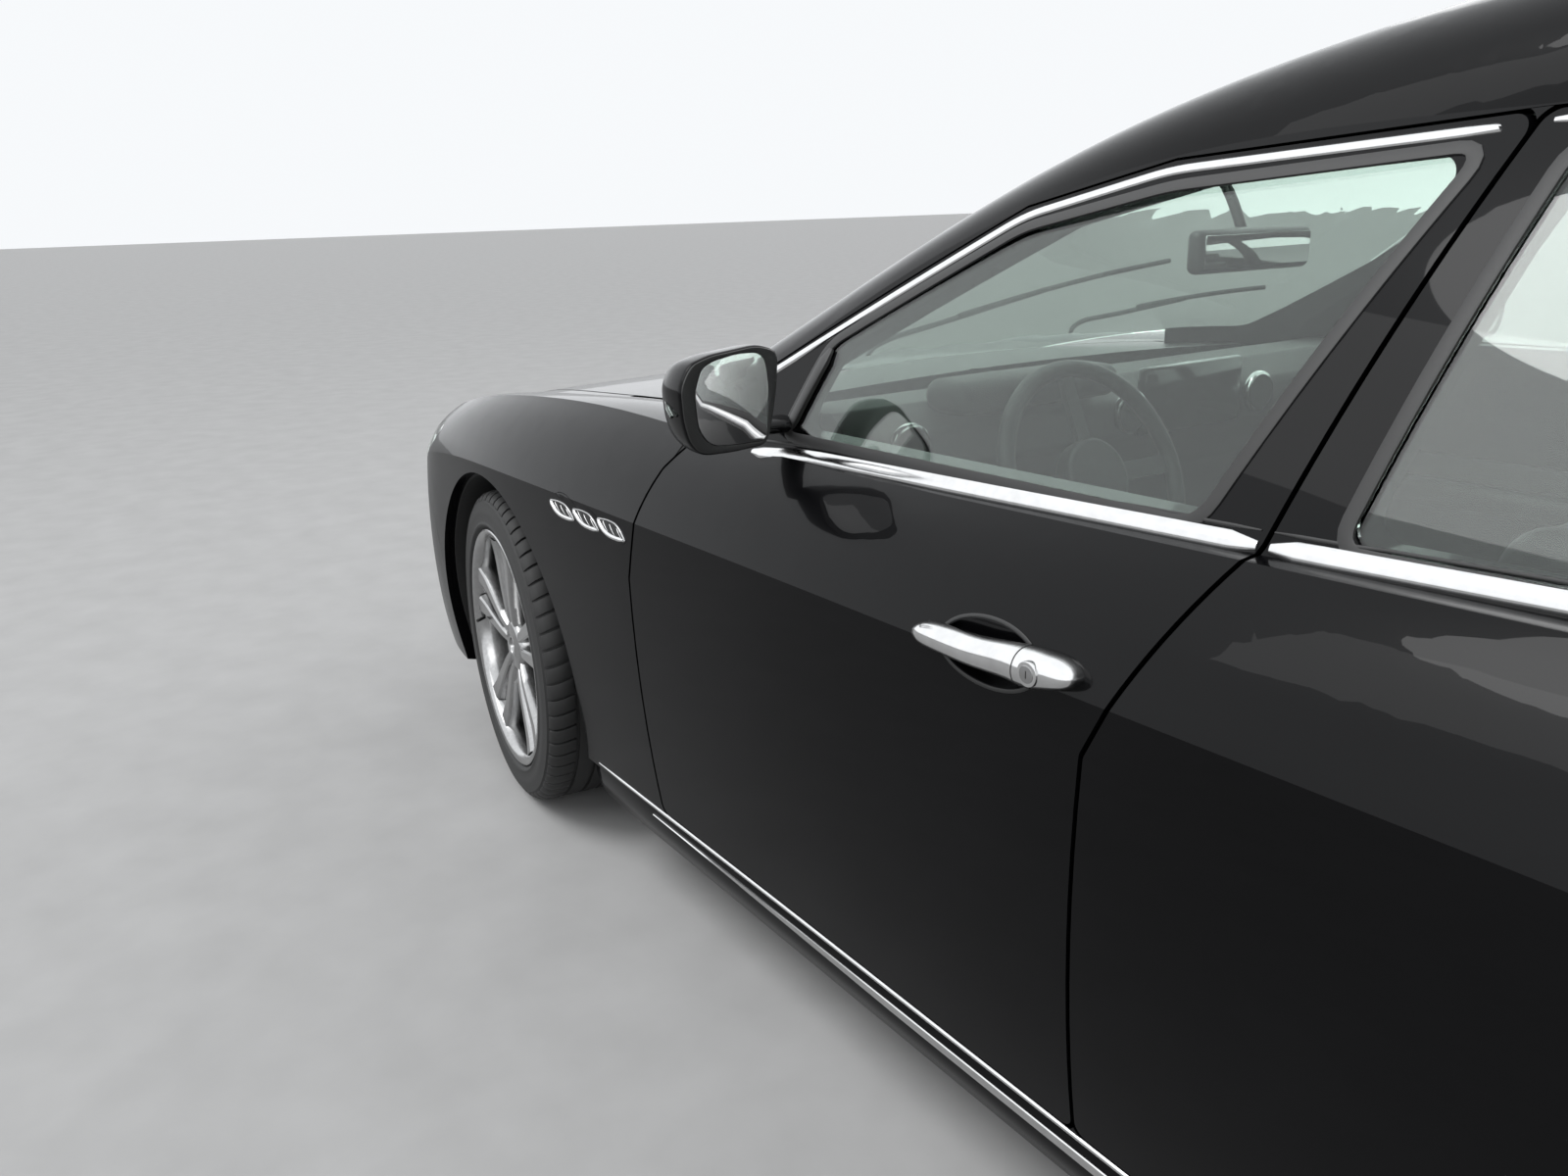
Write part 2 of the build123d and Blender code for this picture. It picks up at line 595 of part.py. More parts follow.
def nose_details(nodes):
    """The grille of upright bars in its frame, and the intake's slats, seated in the bumper's openings."""
    face = nose_form(8) - nose_form(34)
    frame = (rear_prism(grille_line, -1100, -700, -seam) & face) - rear_prism(grille_line, -1100, -700, -grille_rim)
    bars = []
    for index in range(grille_bars):
        y = (index + 0.5 - grille_bars / 2) * grille_pitch
        bars.append(slab(-1000, -700, y - grille_bar / 2, y + grille_bar / 2, 380, 660))
    inside = rear_prism(grille_line, -1100, -700, -grille_rim / 2)
    grille = frame + ((Part() + bars) & inside & (nose_form(14) - nose_form(30)))
    slats = [slab(-1000, -700, -600, 600, z, z + 9) for z in intake_slats]
    intake = (rear_prism(intake_line, -1100, -700, -seam, intake_corner) & face) - rear_prism(intake_line, -1100, -700, -10, intake_corner)
    intake = intake + ((Part() + slats) & rear_prism(intake_line, -1100, -700, -5, intake_corner) & (nose_form(14) - nose_form(30)))
    nodes["grilles"] = Compound(children=[grille.solid(), intake.solid()])


def chassis(nodes, sheet, cabin):
    """Floor, firewall and rails, with the engine, driveline, exhaust and tank hung from them."""
    floor_s = firewall_s + firewall_thickness + 0.3
    tunnel = slab(floor_s, cargo_s - 16, -tunnel_half, tunnel_half, floor_top - 1, tunnel_top)
    bore = slab(firewall_s - 1, cargo_s, -tunnel_half + 20, tunnel_half - 20, 100, tunnel_top - 20)
    front = slab(floor_s, cargo_s - 16, 0.3 - inner_half_width, inner_half_width - 0.3, floor_top - floor_thickness,
                 floor_top)
    step = slab(cargo_s - 40, cargo_s - 16, -1000, 1000, floor_top - 1, rear_floor_z) & cabin
    rear = slab(cargo_s - 40, tail_s - 140, -1000, 1000, rear_floor_z - floor_thickness, rear_floor_z) & cabin
    wells = [across(arch_radius + 1, wheelbase, tyre_radius, well_inner, 1100)]
    wells.append(mirrored(wells[0]))
    rear = rear.cut(*wells)
    well = across(arch_radius + liner_wall, wheelbase, tyre_radius, well_inner, 1000)
    well = well - across(arch_radius, wheelbase, tyre_radius, well_inner + liner_wall, 1100)
    well = (well - slab(3000, 4600, 0, 1100, -100, 262)) & cabin
    well = (well - slab(wheelbase - 130, wheelbase + 130, 0, well_inner + liner_wall + 1, 0, rear_floor_z - 30)).solid()
    risers = [slab(1330, 1790, y - 190, y + 190, floor_top - 1, seat_z) for y in (-driver_y, driver_y)]
    risers.append(slab(2230, 2600, -560, 560, floor_top - 1, bench_z))
    nodes["floor_pan"] = (front + step + tunnel + rear + risers + [well, mirrored(well)]) - bore

    firewall = slab(firewall_s, firewall_s + firewall_thickness, -1000, 1000, 191, 905) & cabin
    firewall = firewall - slab(firewall_s - 1, firewall_s + 60, -tunnel_half + 20, tunnel_half - 20, 100, tunnel_top - 20)
    rails = [slab(-690, firewall_s + 1, y - 35, y + 35, 330, 430) for y in (-rail_half, rail_half)]
    cross = [slab(-715, -665, -rail_half - 60, rail_half + 60, 300, 460),
             slab(-700, -665, -rail_half, rail_half, 455, 640)]
    towers = []
    for y in (-1, 1):
        post = slab(-60, 60, *sorted((y * (rail_half - 20), y * 560)), 790, 806)
        brace = slab(-60, 60, *sorted((y * (rail_half - 20), y * (rail_half - 5))), 425, 806)
        mount = slab(-40, 40, *sorted((y * 250.3, y * (rail_half - 30))), 370, 410)
        towers += [post, brace, mount, Solid.make_cylinder(70, 30).moved(Location((at(0), y * 560, 776)))]
    nodes["front_structure"] = Part() + [firewall] + rails + cross + towers
    nodes["engine"] = slab(-330, 330, -250, 250, 290, 780)
    liner = across(arch_radius, 0, tyre_radius, liner_inner, 917) - across(arch_radius - liner_wall, 0, tyre_radius,
                                                                           liner_inner + liner_wall, 1000)
    liner = liner - slab(-500, 500, 0, 1000, -100, 235)
    liner = liner - slab(-300, 300, 0, liner_inner + liner_wall + 1, -100, 560)
    liner = liner & (sheet - plan_prism(bonnet_line, 400, 1100, 40))
    nodes["wheel_liners"] = pair(liner - slab(-120, 120, 0, 640, 700, 900))


def wheel_parts():
    """A tyre and its rim with the brake disc, about the origin, axle along Y, outside towards +Y."""
    half = tyre_width / 2
    lip = half - 3
    left = [(rim_radius - 16, lip - 12.3), (rim_radius + 0.4, lip - 8.4), (rim_radius + 6, lip), (300, half),
            (tyre_radius - 14, half - 10), (tyre_radius, half - 32)]
    outline = left + [(r, -v) for r, v in reversed(left)]
    tyre = revolve(make_face(Plane.XY * Polyline(*outline, close=True)), Axis.Y)
    barrel_in = rim_radius - 16.3 - barrel_wall
    ring = [(barrel_in, lip), (rim_radius, lip), (rim_radius, lip - 8), (rim_radius - 16.3, lip - 12),
            (rim_radius - 16.3, 12 - lip), (rim_radius, 8 - lip), (rim_radius, -lip), (barrel_in, -lip)]
    barrel = revolve(make_face(Polyline(*ring, close=True)), Axis.Y)
    dish = [(0, 62), (58, 62), (72, 76), (barrel_in + 2, lip - 6), (barrel_in + 2, lip - 30), (90, 48), (0, 34)]
    dish = revolve(make_face(Polyline(*dish, close=True)), Axis.Y)
    pattern = [Solid.make_cylinder(76, 400)]
    for index in range(spoke_count):
        for side in (-1, 1):
            bar = make_face(Polyline((40, side * 4), (barrel_in + 1, side * 22), (barrel_in + 1, side * 52),
                                     (60, side * 36), (40, side * 30), close=True))
            bar = extrude(bar, amount=400).solid()
            pattern.append(bar.moved(Location((0, 0, 0), (0, 0, 90 + index * 360 / spoke_count))))
    pattern = (Part() + pattern).moved(Location((0, 250, 0), (90, 0, 0)))
    spokes = dish & pattern
    for index in range(spoke_count):
        angle = math.radians(54 + index * 360 / spoke_count)
        hole = Solid.make_cylinder(9, 14).moved(Location((54 * math.cos(angle), 70, 54 * math.sin(angle)), (90, 0, 0)))
        spokes = spokes - hole
    cap = Solid.make_cylinder(30, 8).moved(Location((0, 68, 0), (90, 0, 0)))
    disc = Solid.make_cylinder(disc_radius, disc_thickness).moved(Location((0, disc_out, 0), (90, 0, 0)))
    hat = Solid.make_cylinder(80, hub_face - disc_out + disc_thickness).moved(Location((0, hub_face, 0), (90, 0, 0)))
    rim = Part() + [barrel, spokes, cap, disc, hat]
    return tyre.solid(), rim


def knuckle_part():
    """Upright, bearing and caliper that carry a wheel, about the wheel's middle, outside towards +Y."""
    back = disc_out - disc_thickness
    bearing = Solid.make_cylinder(48, 70).moved(Location((0, back - 0.3, 0), (90, 0, 0)))
    upright_bar = Solid.make_box(56, 50, 2 * joint_z).moved(Location((-28, -kingpin_offset - 25, -joint_z)))
    arm = Solid.make_box(100, 22, 70).moved(Location((-125, back - 34, -35)))
    caliper = Solid.make_box(80, 78, 130).moved(Location((-195, back - 32, -65)))
    groove = Solid.make_cylinder(disc_radius + 6, disc_thickness + 10).moved(Location((0, disc_out + 5, 0), (90, 0, 0)))
    caliper = (caliper & Solid.make_cylinder(206, 400).moved(Location((0, 200, 0), (90, 0, 0)))) - groove
    return Part() + [bearing, upright_bar, arm, caliper]


def wheels(nodes):
    """The four wheels and the two steered knuckles, parked with the front ones turned a little to the right."""
    tyre, rim = wheel_parts()
    knuckle = knuckle_part()
    for side, sign in (("left", 1), ("right", -1)):
        for name, shape in (("tyre_front", tyre), ("rim_front", rim), ("knuckle", knuckle)):
            piece = shape.moved(Location((0, kingpin_offset, 0)))
            piece = piece if sign > 0 else mirrored(piece)
            piece = piece.moved(Location((0, 0, 0), (0, 0, -park_steer)))
            nodes[f"{name}_{side}"] = piece.moved(Location((front_axle_x, sign * kingpin_half, tyre_radius)))
        for name, shape in (("tyre_rear", tyre), ("rim_rear", rim)):
            piece = shape if sign > 0 else mirrored(shape)
            nodes[f"{name}_{side}"] = piece.moved(Location((rear_axle_x, sign * rear_half_track, tyre_radius)))


# Columns of the axles: s, ball joints' y, upper arms' inner y, underside that carries the subframe, damper's top,
# damper's place behind the axle
axles = [(0, kingpin_half, 470, 330, (560, 775.7), 0),
         (wheelbase, rear_half_track - kingpin_offset, 420, None, (600, None), 62)]


def axle_frame(s, joint_y, upper_y, carrier_z, top, behind):
    """An axle's subframe, wishbones and dampers."""
    low, high = tyre_radius - joint_z - 0.3, tyre_radius + joint_z + 0.3
    floor_z = rear_floor_z - floor_thickness - 0.3
    carrier_z = floor_z if carrier_z is None else carrier_z - 0.3
    damper_y, damper_z = top[0], floor_z if top[1] is None else top[1]
    pieces = []
    for offset in (-235, 195):
        pieces.append(slab(s + offset, s + offset + 40, -subframe_half, subframe_half, low - 26, low + 20))
    for sign in (-1, 1):
        pieces.append(slab(s - 260, s + 260, *sorted((sign * (subframe_half - 30), sign * (subframe_half + 30))),
                           low - 30, low + 34))
        pieces.append(Solid.make_cylinder(24, 26).moved(Location((at(s), sign * joint_y, low - 26))))
        pieces.append(Solid.make_cylinder(22, 22).moved(Location((at(s), sign * joint_y, high))))
        pieces.append(rod((s - 85, sign * 610, low - 6), (s + 85, sign * 610, low - 6), 12))
        damper_s = s + behind
        pieces.append(rod((damper_s, sign * 610, low), (damper_s, sign * damper_y, damper_z), 20)
                      & slab(damper_s - 50, damper_s + 50, -1000, 1000, 0, damper_z))
        for side in (-1, 1):
            pieces.append(rod((s, sign * joint_y, low - 16), (s + side * 185, sign * subframe_half, low + 4), 13))
            pieces.append(rod((s, sign * joint_y, high + 11), (s + side * 120, sign * upper_y, high + 22), 10))
            post_y = sorted((sign * (subframe_half + 5), sign * (subframe_half + 29)))
            pieces.append(slab(s + side * 235 - 20, s + side * 235 + 20, *post_y, low, carrier_z))
            foot = rail_top + 0.3 if s == 0 else low
            bracket_y = sorted((sign * (upper_y - 22), sign * (upper_y + 8)))
            bracket = slab(s + side * 120 - 18, s + side * 120 + 18, *bracket_y, foot, high + 36)
            pieces.append(bracket)
    return pieces


def suspension(nodes):
    """Subframes, wishbones and dampers, with the rear hub carriers, the gearbox, shafts and final drive."""
    front, rear = [axle_frame(*row) for row in axles]
    carrier = knuckle_part().moved(Location((rear_axle_x, rear_half_track, tyre_radius)))
    nodes["front_suspension"] = Part() + front
    nodes["rear_suspension"] = Part() + rear + [carrier, mirrored(carrier)]

    gearbox = rod((330, 0, 290), (1050, 0, 284), 80)
    prop = rod((1045, 0, 284), (wheelbase - 130, 0, final_z + 10), 32)
    final = rod((wheelbase - 135, 0, final_z), (wheelbase + 120, 0, final_z), 95)
    shafts = [rod((wheelbase, 0, final_z), (wheelbase, y, tyre_radius), 16)
              for y in (84 - rear_half_track, rear_half_track - 84)]
    nodes["driveline"] = Part() + [gearbox, prop, final] + shafts


def soft_box(s0, s1, y0, y1, z0, z1, radius=28):
    """A cushion: a block with rounded edges."""
    return fillet(slab(s0, s1, y0, y1, z0, z1).edges(), radius)


def seat(s0, s1, y0, y1, z, gap, lean):
    """A cushion, a leaning back and, on a single seat, its head restraint."""
    cushion_radius, back_radius = 28, 36
    cushion = soft_box(s0, s1 - gap, y0, y1, z + gap, z + 150, cushion_radius)
    angle = math.radians(lean)
    foot_s = s1 - back_radius * (math.cos(angle) + math.sin(angle) - 1)
    foot_z = z + 60
    back = soft_box(foot_s, foot_s + 120, y0, y1, foot_z, foot_z + 620, back_radius)
    leaned = [back]
    if y0 * y1 > 0:
        middle = (y0 + y1) / 2
        leaned.append(soft_box(foot_s + 20, foot_s + 100, middle - 125, middle + 125, foot_z + 620 + gap,
                               foot_z + 760, 28))
    foot = Location((at(foot_s), 0, foot_z))
    tilt = foot * Location((0, 0, 0), (0, -lean, 0)) * foot.inverse()
    return [cushion] + [piece.moved(tilt) for piece in leaned]


def interior(nodes, cabin):
    """Dashboard, steering wheel, seats, partition and the coffin deck with its rollers and trays."""
    dash_line = [(firewall_s + 26, 560), (firewall_s + 26, 905), (800, 960), (980, 975), (1050, 940), (1060, 880),
                 (985, 790), (940, 600), (880, 560)]
    nodes["dashboard"] = side_prism(dash_line, -1000, 1000, radius=22) & cabin
    hub = Vector(at(1190), driver_y, 860)
    wheel_plane = Plane(origin=hub, x_dir=(0, 1, 0), z_dir=(-math.cos(wheel_tilt), 0, math.sin(wheel_tilt)))
    rim = Solid.make_torus(178, 14)
    spokes = [Solid.make_box(30, 340, 10).moved(Location((-15, -170, -8))), Solid.make_box(170, 26, 10).moved(
        Location((-170, -13, -8)))]
    boss = fillet(Solid.make_cylinder(62, 40).moved(Location((0, 0, -26))).edges(), 8)
    column = Solid.make_cylinder(24, 250).moved(Location((0, 0, -272)))
    wheel = Part() + [rim, boss, column] + spokes
    wheel = wheel.rotate(Axis.Z, 90)
    nodes["steering_wheel"] = wheel.moved(wheel_plane.location) - nodes["dashboard"]

    seats = []
    for y in (-driver_y, driver_y):
        seats += seat(1320, 1790, y - 230, y + 230, seat_z, 0.3, back_lean)
    nodes["front_seats"] = Compound(children=seats)
    nodes["rear_bench"] = Compound(children=seat(2200, 2550, -600, 600, bench_z, 0.3, bench_lean))
    partition = slab(cargo_s - 44, cargo_s - 20, -1000, 1000, rear_floor_z + 0.3, 1020) & cabin

    deck = slab(deck_front_s, deck_rear_s, -deck_half_width, deck_half_width, deck_height - deck_thickness, deck_height)
    bearers = [slab(deck_front_s, deck_rear_s - 20, y - 30, y + 30, rear_floor_z + 0.3, deck_height - deck_thickness + 1)
               for y in (-420, 420)]
    rails = [slab(deck_front_s + 30, deck_rear_s - 40, y - 9, y + 9, deck_height - 1, deck_height + 16)
             for y in (-330, 330)]
    deck = Part() + [deck] + bearers + rails
    rollers = []
    for index in range(roller_count):
        s = deck_front_s + 190 + index * roller_pitch
        for y in (-roller_y, roller_y):
            deck = deck - slab(s - roller_radius - 5, s + roller_radius + 5, y - 85, y + 85, deck_height - 20, deck_height + 1)
            rollers.append(across(roller_radius - 3, s, deck_height, y - 84.7, y + 84.7) - slab(
                s - 30, s + 30, y - 90, y + 90, 600, deck_height - 19.7))
    nodes["coffin_deck"] = deck
    nodes["deck_rollers"] = Compound(children=rollers)
    tray = slab(deck_front_s, deck_rear_s, deck_half_width + 24, 1000, tray_z - 14, tray_z)
    board = slab(deck_front_s, deck_rear_s, deck_half_width + 12, deck_half_width + 24, rear_floor_z + 0.3, tray_z)
    tray = ((tray + board) & cabin).solid()
    nodes["cargo_lining"] = Compound(children=[partition.solid(), tray, mirrored(tray)])


def fittings(nodes, lower):
    """Mirrors and pull handles on the doors, then the exhaust and the fuel tank."""
    sections = []
    for s, factor in mirror_sections:
        plane = Plane(origin=(at(s), *mirror_middle), x_dir=(0, 1, 0), z_dir=(1, 0, 0))
        outline = FilletPolyline(*[(y * factor, z * factor) for y, z in mirror_line], radius=mirror_corner * factor,
                                 close=True)
        sections.append(outline.wire().moved(plane.location))
    arm = fillet(slab(957, 1002, 800, 940, 962, 988).edges(), 9) - across_x(glass_radius)
    nodes["mirror_left"] = Solid.make_loft(sections) + main_solid(arm)
    nodes["mirror_right"] = mirrored(nodes["mirror_left"])
    for place, s in handles.items():
        bar = side_prism([(s + ds, handle_z + dz) for ds, dz in handle_line], 977, 992, radius=3.5)
        bar = fillet(bar.faces().sort_by(Axis.Y)[-1].edges(), 4)
        feet = [across(8, s + offset, handle_z, 950, 980) for offset in (-92, 92)]
        handle = (Part() + [bar] + feet) - lower
        both(nodes, f"handle_{place}", handle)
    route = [(1080, pipe_y, 252), (cargo_s + 60, pipe_y, 235), (wheelbase - 300, pipe_y, 185),
             (wheelbase + 300, pipe_y, 185), (4470, 260, 290)]
    pipes = []
    for sign in (-1, 1):
        points = [(s, sign * y, z) for s, y, z in route]
        pipes += [rod(a, b, pipe_radius) for a, b in zip(points, points[1:])]
        joints = [Solid.make_sphere(pipe_radius).moved(Location((at(s), y, z))) for s, y, z in points[:-1]]
        pipes += joints
        pipes.append(rod((4690, sign * tailpipe_y, tailpipe_z), (tail_s - 10, sign * tailpipe_y, tailpipe_z),
                         tailpipe_radius))
    box = fillet(slab(4420, 4720, -520, 520, 250, 400).edges(), 40)
    middle = fillet(slab(1900, 2450, 24 - tunnel_half, tunnel_half - 24, 172, 260).edges(), 35)
    hangers = [slab(4560, 4580, y - 12, y + 12, 395, rear_floor_z - floor_thickness - 0.3) for y in (-300, 300)]
    nodes["exhaust"] = Part() + pipes + [box, middle] + hangers
    tank_top = rear_floor_z - floor_thickness - 0.3
    tank = fillet(slab(cargo_s + 60, 3340, 170, 640, 245, tank_top).edges(), 40)
    bridge = slab(cargo_s + 110, 3290, -200, 200, 420, tank_top - 20)
    nodes["fuel_tank"] = Part() + [tank, mirrored(tank), bridge]


main()
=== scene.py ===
import json
import math

import bmesh
import bpy
from mathutils import Matrix, Vector


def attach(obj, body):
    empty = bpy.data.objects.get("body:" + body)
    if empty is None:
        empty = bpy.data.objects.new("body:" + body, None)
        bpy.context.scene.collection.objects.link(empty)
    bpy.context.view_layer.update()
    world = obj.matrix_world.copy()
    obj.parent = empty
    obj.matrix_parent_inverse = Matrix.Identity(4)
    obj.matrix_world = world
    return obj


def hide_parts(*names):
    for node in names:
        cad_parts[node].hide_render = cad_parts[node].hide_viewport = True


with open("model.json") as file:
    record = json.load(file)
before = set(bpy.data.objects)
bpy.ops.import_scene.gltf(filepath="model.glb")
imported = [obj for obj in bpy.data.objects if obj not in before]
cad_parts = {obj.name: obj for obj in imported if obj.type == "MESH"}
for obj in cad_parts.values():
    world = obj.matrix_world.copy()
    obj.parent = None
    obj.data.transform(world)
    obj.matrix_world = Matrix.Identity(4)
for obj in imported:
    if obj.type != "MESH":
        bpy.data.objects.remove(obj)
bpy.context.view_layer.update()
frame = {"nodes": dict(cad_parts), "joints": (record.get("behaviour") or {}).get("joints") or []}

# Places along the car are metres behind the front axle, as a coachbuilder measures them.
joints = {joint["name"]: joint for joint in frame["joints"]}
frontAxleX = joints["steer_left"]["pos_m"][0]
sides = {"left": 1, "right": -1}


def at(s):
    return frontAxleX - s


def carPoint(s, y, z):
    return Vector((at(s), y, z))


# Materials
def newMaterial(name, **values):
    material = bpy.data.materials.new(name)
    material.use_nodes = True
    shader = material.node_tree.nodes["Principled BSDF"]
    for socket, value in values.items():
        shader.inputs[socket.replace("_", " ")].default_value = value
    return material, material.node_tree, shader


def addNode(tree, kind, **values):
    node = tree.nodes.new(kind)
    for socket, value in values.items():
        node.inputs[socket.replace("_", " ")].default_value = value
    return node


def noiseOnObject(tree, scale, detail=4.0):
    coords = tree.nodes.new("ShaderNodeTexCoord")
    noise = addNode(tree, "ShaderNodeTexNoise", Scale=scale, Detail=detail)
    tree.links.new(coords.outputs["Object"], noise.inputs["Vector"])
    return noise


def colourFrom(tree, shader, noise, colours, low=0.3, high=0.7):
    # Each colour is a grey's one value or (red, green, blue, 1)
    blend = tree.nodes.new("ShaderNodeValToRGB")
    for element, position, colour in zip(blend.color_ramp.elements, (low, high), colours):
        element.position = position
        element.color = colour if isinstance(colour, tuple) else (colour, colour, colour, 1)
    tree.links.new(noise.outputs["Fac"], blend.inputs["Fac"])
    tree.links.new(blend.outputs["Color"], shader.inputs["Base Color"])


def roughnessFrom(tree, shader, noise, low, high):
    scaled = addNode(tree, "ShaderNodeMapRange", To_Min=low, To_Max=high)
    tree.links.new(noise.outputs["Fac"], scaled.inputs["Value"])
    tree.links.new(scaled.outputs["Result"], shader.inputs["Roughness"])


def paintMaterial():
    material, tree, shader = newMaterial("glossBlackPaint", Coat_Weight=0.22, Coat_Roughness=0.015,
                                         Coat_IOR=1.5, Specular_IOR_Level=0.03)
    colours = (0.002, 0.002, 0.0024, 1), (0.0034, 0.0034, 0.004, 1)
    colourFrom(tree, shader, noiseOnObject(tree, 3.0, 2.0), colours)
    roughnessFrom(tree, shader, noiseOnObject(tree, 900.0, 3.0), 0.16, 0.3)
    return material


def glassMaterial():
    material, tree, shader = newMaterial("tintedGlass", Roughness=0.0, IOR=1.45, Transmission_Weight=1.0)
    colours = (0.7, 0.79, 0.74, 1), (0.72, 0.81, 0.76, 1)
    colourFrom(tree, shader, noiseOnObject(tree, 1.5, 1.0), colours, 0.35, 0.65)
    return material


def surfaceMaterial(name, dark, light, lowRough, highRough, scale, **values):
    material, tree, shader = newMaterial(name, **values)
    noise = noiseOnObject(tree, scale)
    colourFrom(tree, shader, noise, (dark, light))
    roughnessFrom(tree, shader, noise, lowRough, highRough)
    return material, tree, shader, noise


def metalMaterial(name, dark, light, lowRough, highRough, scale):
    return surfaceMaterial(name, dark, light, lowRough, highRough, scale, Metallic=1.0)[0]


def plasticMaterial(name, dark, light, lowRough, highRough, scale, strength=0.15, distance=0.0004):
    material, tree, shader, noise = surfaceMaterial(name, dark, light, lowRough, highRough, scale)
    bump = addNode(tree, "ShaderNodeBump", Strength=strength, Distance=distance)
    tree.links.new(noise.outputs["Fac"], bump.inputs["Height"])
    tree.links.new(bump.outputs["Normal"], shader.inputs["Normal"])
    return material


paint = paintMaterial()
glass = glassMaterial()
chrome = metalMaterial("satinChrome", 0.52, 0.58, 0.1, 0.18, 60.0)
alloy = metalMaterial("gunmetalAlloy", 0.3, 0.35, 0.16, 0.26, 120.0)
rubber = plasticMaterial("tyreRubber", 0.008, 0.014, 0.6, 0.8, 260.0)
trimBlack = plasticMaterial("blackTrim", 0.008, 0.012, 0.35, 0.5, 700.0)
castIron = plasticMaterial("castIron", 0.05, 0.09, 0.5, 0.75, 180.0)
underseal = plasticMaterial("underseal", 0.01, 0.02, 0.6, 0.85, 220.0)
leather = plasticMaterial("blackLeather", 0.012, 0.02, 0.4, 0.6, 420.0, 0.4, 0.0006)
deckWood = plasticMaterial("deckWood", (0.07, 0.03, 0.012, 1), (0.13, 0.06, 0.025, 1), 0.25, 0.4, 14.0)
lining = plasticMaterial("wovenLining", 0.09, 0.13, 0.8, 0.95, 900.0)
lampLens = glassMaterial()
lampRed = newMaterial("redLens", Roughness=0.12, Base_Color=(0.35, 0.005, 0.008, 1))[0]
dashPlastic = plasticMaterial("softDash", 0.03, 0.05, 0.5, 0.65, 800.0, 0.3, 0.0005)
sealBlack = plasticMaterial("sealRubber", 0.006, 0.01, 0.45, 0.6, 500.0, 0.1, 0.0002)
mirrorGlass = metalMaterial("mirrorGlass", 0.55, 0.58, 0.01, 0.03, 10.0)
plateWhite = plasticMaterial("blankPlate", 0.55, 0.6, 0.3, 0.4, 300.0, 0.1, 0.0002)
lampBowl = metalMaterial("lampReflector", 0.75, 0.85, 0.05, 0.12, 50.0)
screenBlack = plasticMaterial("darkScreen", 0.004, 0.006, 0.06, 0.1, 100.0, 0.02, 0.0001)
meshBlack = plasticMaterial("blackMesh", 0.003, 0.01, 0.6, 0.8, 1500.0, 0.8, 0.001)
discSteel = metalMaterial("discSteel", 0.35, 0.42, 0.25, 0.4, 300.0)

nodeMaterials = {
    "glass": glass, "windscreen": glass, "tyre": rubber, "rim": alloy, "knuckle": castIron,
    "engine": castIron, "driveline": castIron, "rear_suspension": castIron, "front_suspension": castIron,
    "floor_pan": underseal, "front_structure": paint, "exhaust": castIron, "fuel_tank": underseal,
    "grilles": chrome, "deck_rollers": chrome, "handle": chrome, "cowl": trimBlack,
    "wheel_liners": underseal, "dashboard": dashPlastic, "steering_wheel": leather, "headlamps": lampLens,
    "tail_lamps": lampRed, "front_seats": leather, "rear_bench": leather, "cargo_lining": lining,
    "coffin_deck": deckWood,
}
for nodeName, node in frame["nodes"].items():
    chosen = paint
    for key, material in nodeMaterials.items():
        if nodeName.startswith(key) or (key == "glass" and "glass" in nodeName):
            chosen = material
    node.data.materials.clear()
    node.data.materials.append(chosen)
print("materials on the nodes")

# Finishes of the added pieces, with the record's slot that each belongs to
finishes = {
    "chrome": (chrome, "bright"), "darkChrome": (alloy, "alloy"), "rubber": (rubber, "tyre"),
    "trim": (trimBlack, "plastic"), "seal": (sealBlack, "plastic"), "mirrorGlass": (mirrorGlass, "glass"),
    "leather": (leather, "leather"), "dash": (dashPlastic, "plastic"), "plate": (plateWhite, "plastic"),
    "lampInside": (lampBowl, "bright"), "clearLens": (glass, "lamp"), "screen": (screenBlack, "plastic"),
    "mesh": (meshBlack, "plastic"), "paint": (paint, "paint"), "disc": (discSteel, "iron"),
}


def pick(piece):
    bpy.ops.object.select_all(action="DESELECT")
    piece.select_set(True)
    bpy.context.view_layer.objects.active = piece


def linked(name, data):
    piece = bpy.data.objects.new(name, data)
    bpy.context.scene.collection.objects.link(piece)
    return piece


def unfinished(name, points, faces):
    mesh = bpy.data.meshes.new(name)
    mesh.from_pydata([tuple(point) for point in points], [], faces)
    return linked(name, mesh)


def settle(piece, name, finish, body, smooth=35):
    pick(piece)
    bpy.ops.object.transform_apply(location=True, rotation=True, scale=True)
    bpy.ops.object.shade_smooth_by_angle(angle=math.radians(smooth))
    material, slot = finishes[finish]
    piece.name = name
    piece.data.name = name
    piece.data.materials.clear()
    piece.data.materials.append(material)
    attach(piece, body)
    return piece


def meshPiece(name, points, faces, finish, body, bevel=0.0, smooth=35):
    piece = unfinished(name, points, faces)
    mesh = piece.data
    mesh.validate()
    shape = bmesh.new()
    shape.from_mesh(mesh)
    bmesh.ops.recalc_face_normals(shape, faces=shape.faces)
    shape.to_mesh(mesh)
    shape.free()
    if bevel:
        rounded(piece, bevel)
    return settle(piece, name, finish, body, smooth)


sharpEdge = math.radians(30)


def applied(piece, kind, **values):
    pick(piece)
    modifier = piece.modifiers.new(kind.lower(), kind)
    for key, value in values.items():
        setattr(modifier, key, value)
    bpy.ops.object.modifier_apply(modifier=modifier.name)


def rounded(piece, width, segments=2):
    applied(piece, "BEVEL", width=width, segments=segments, limit_method="ANGLE", angle_limit=sharpEdge)


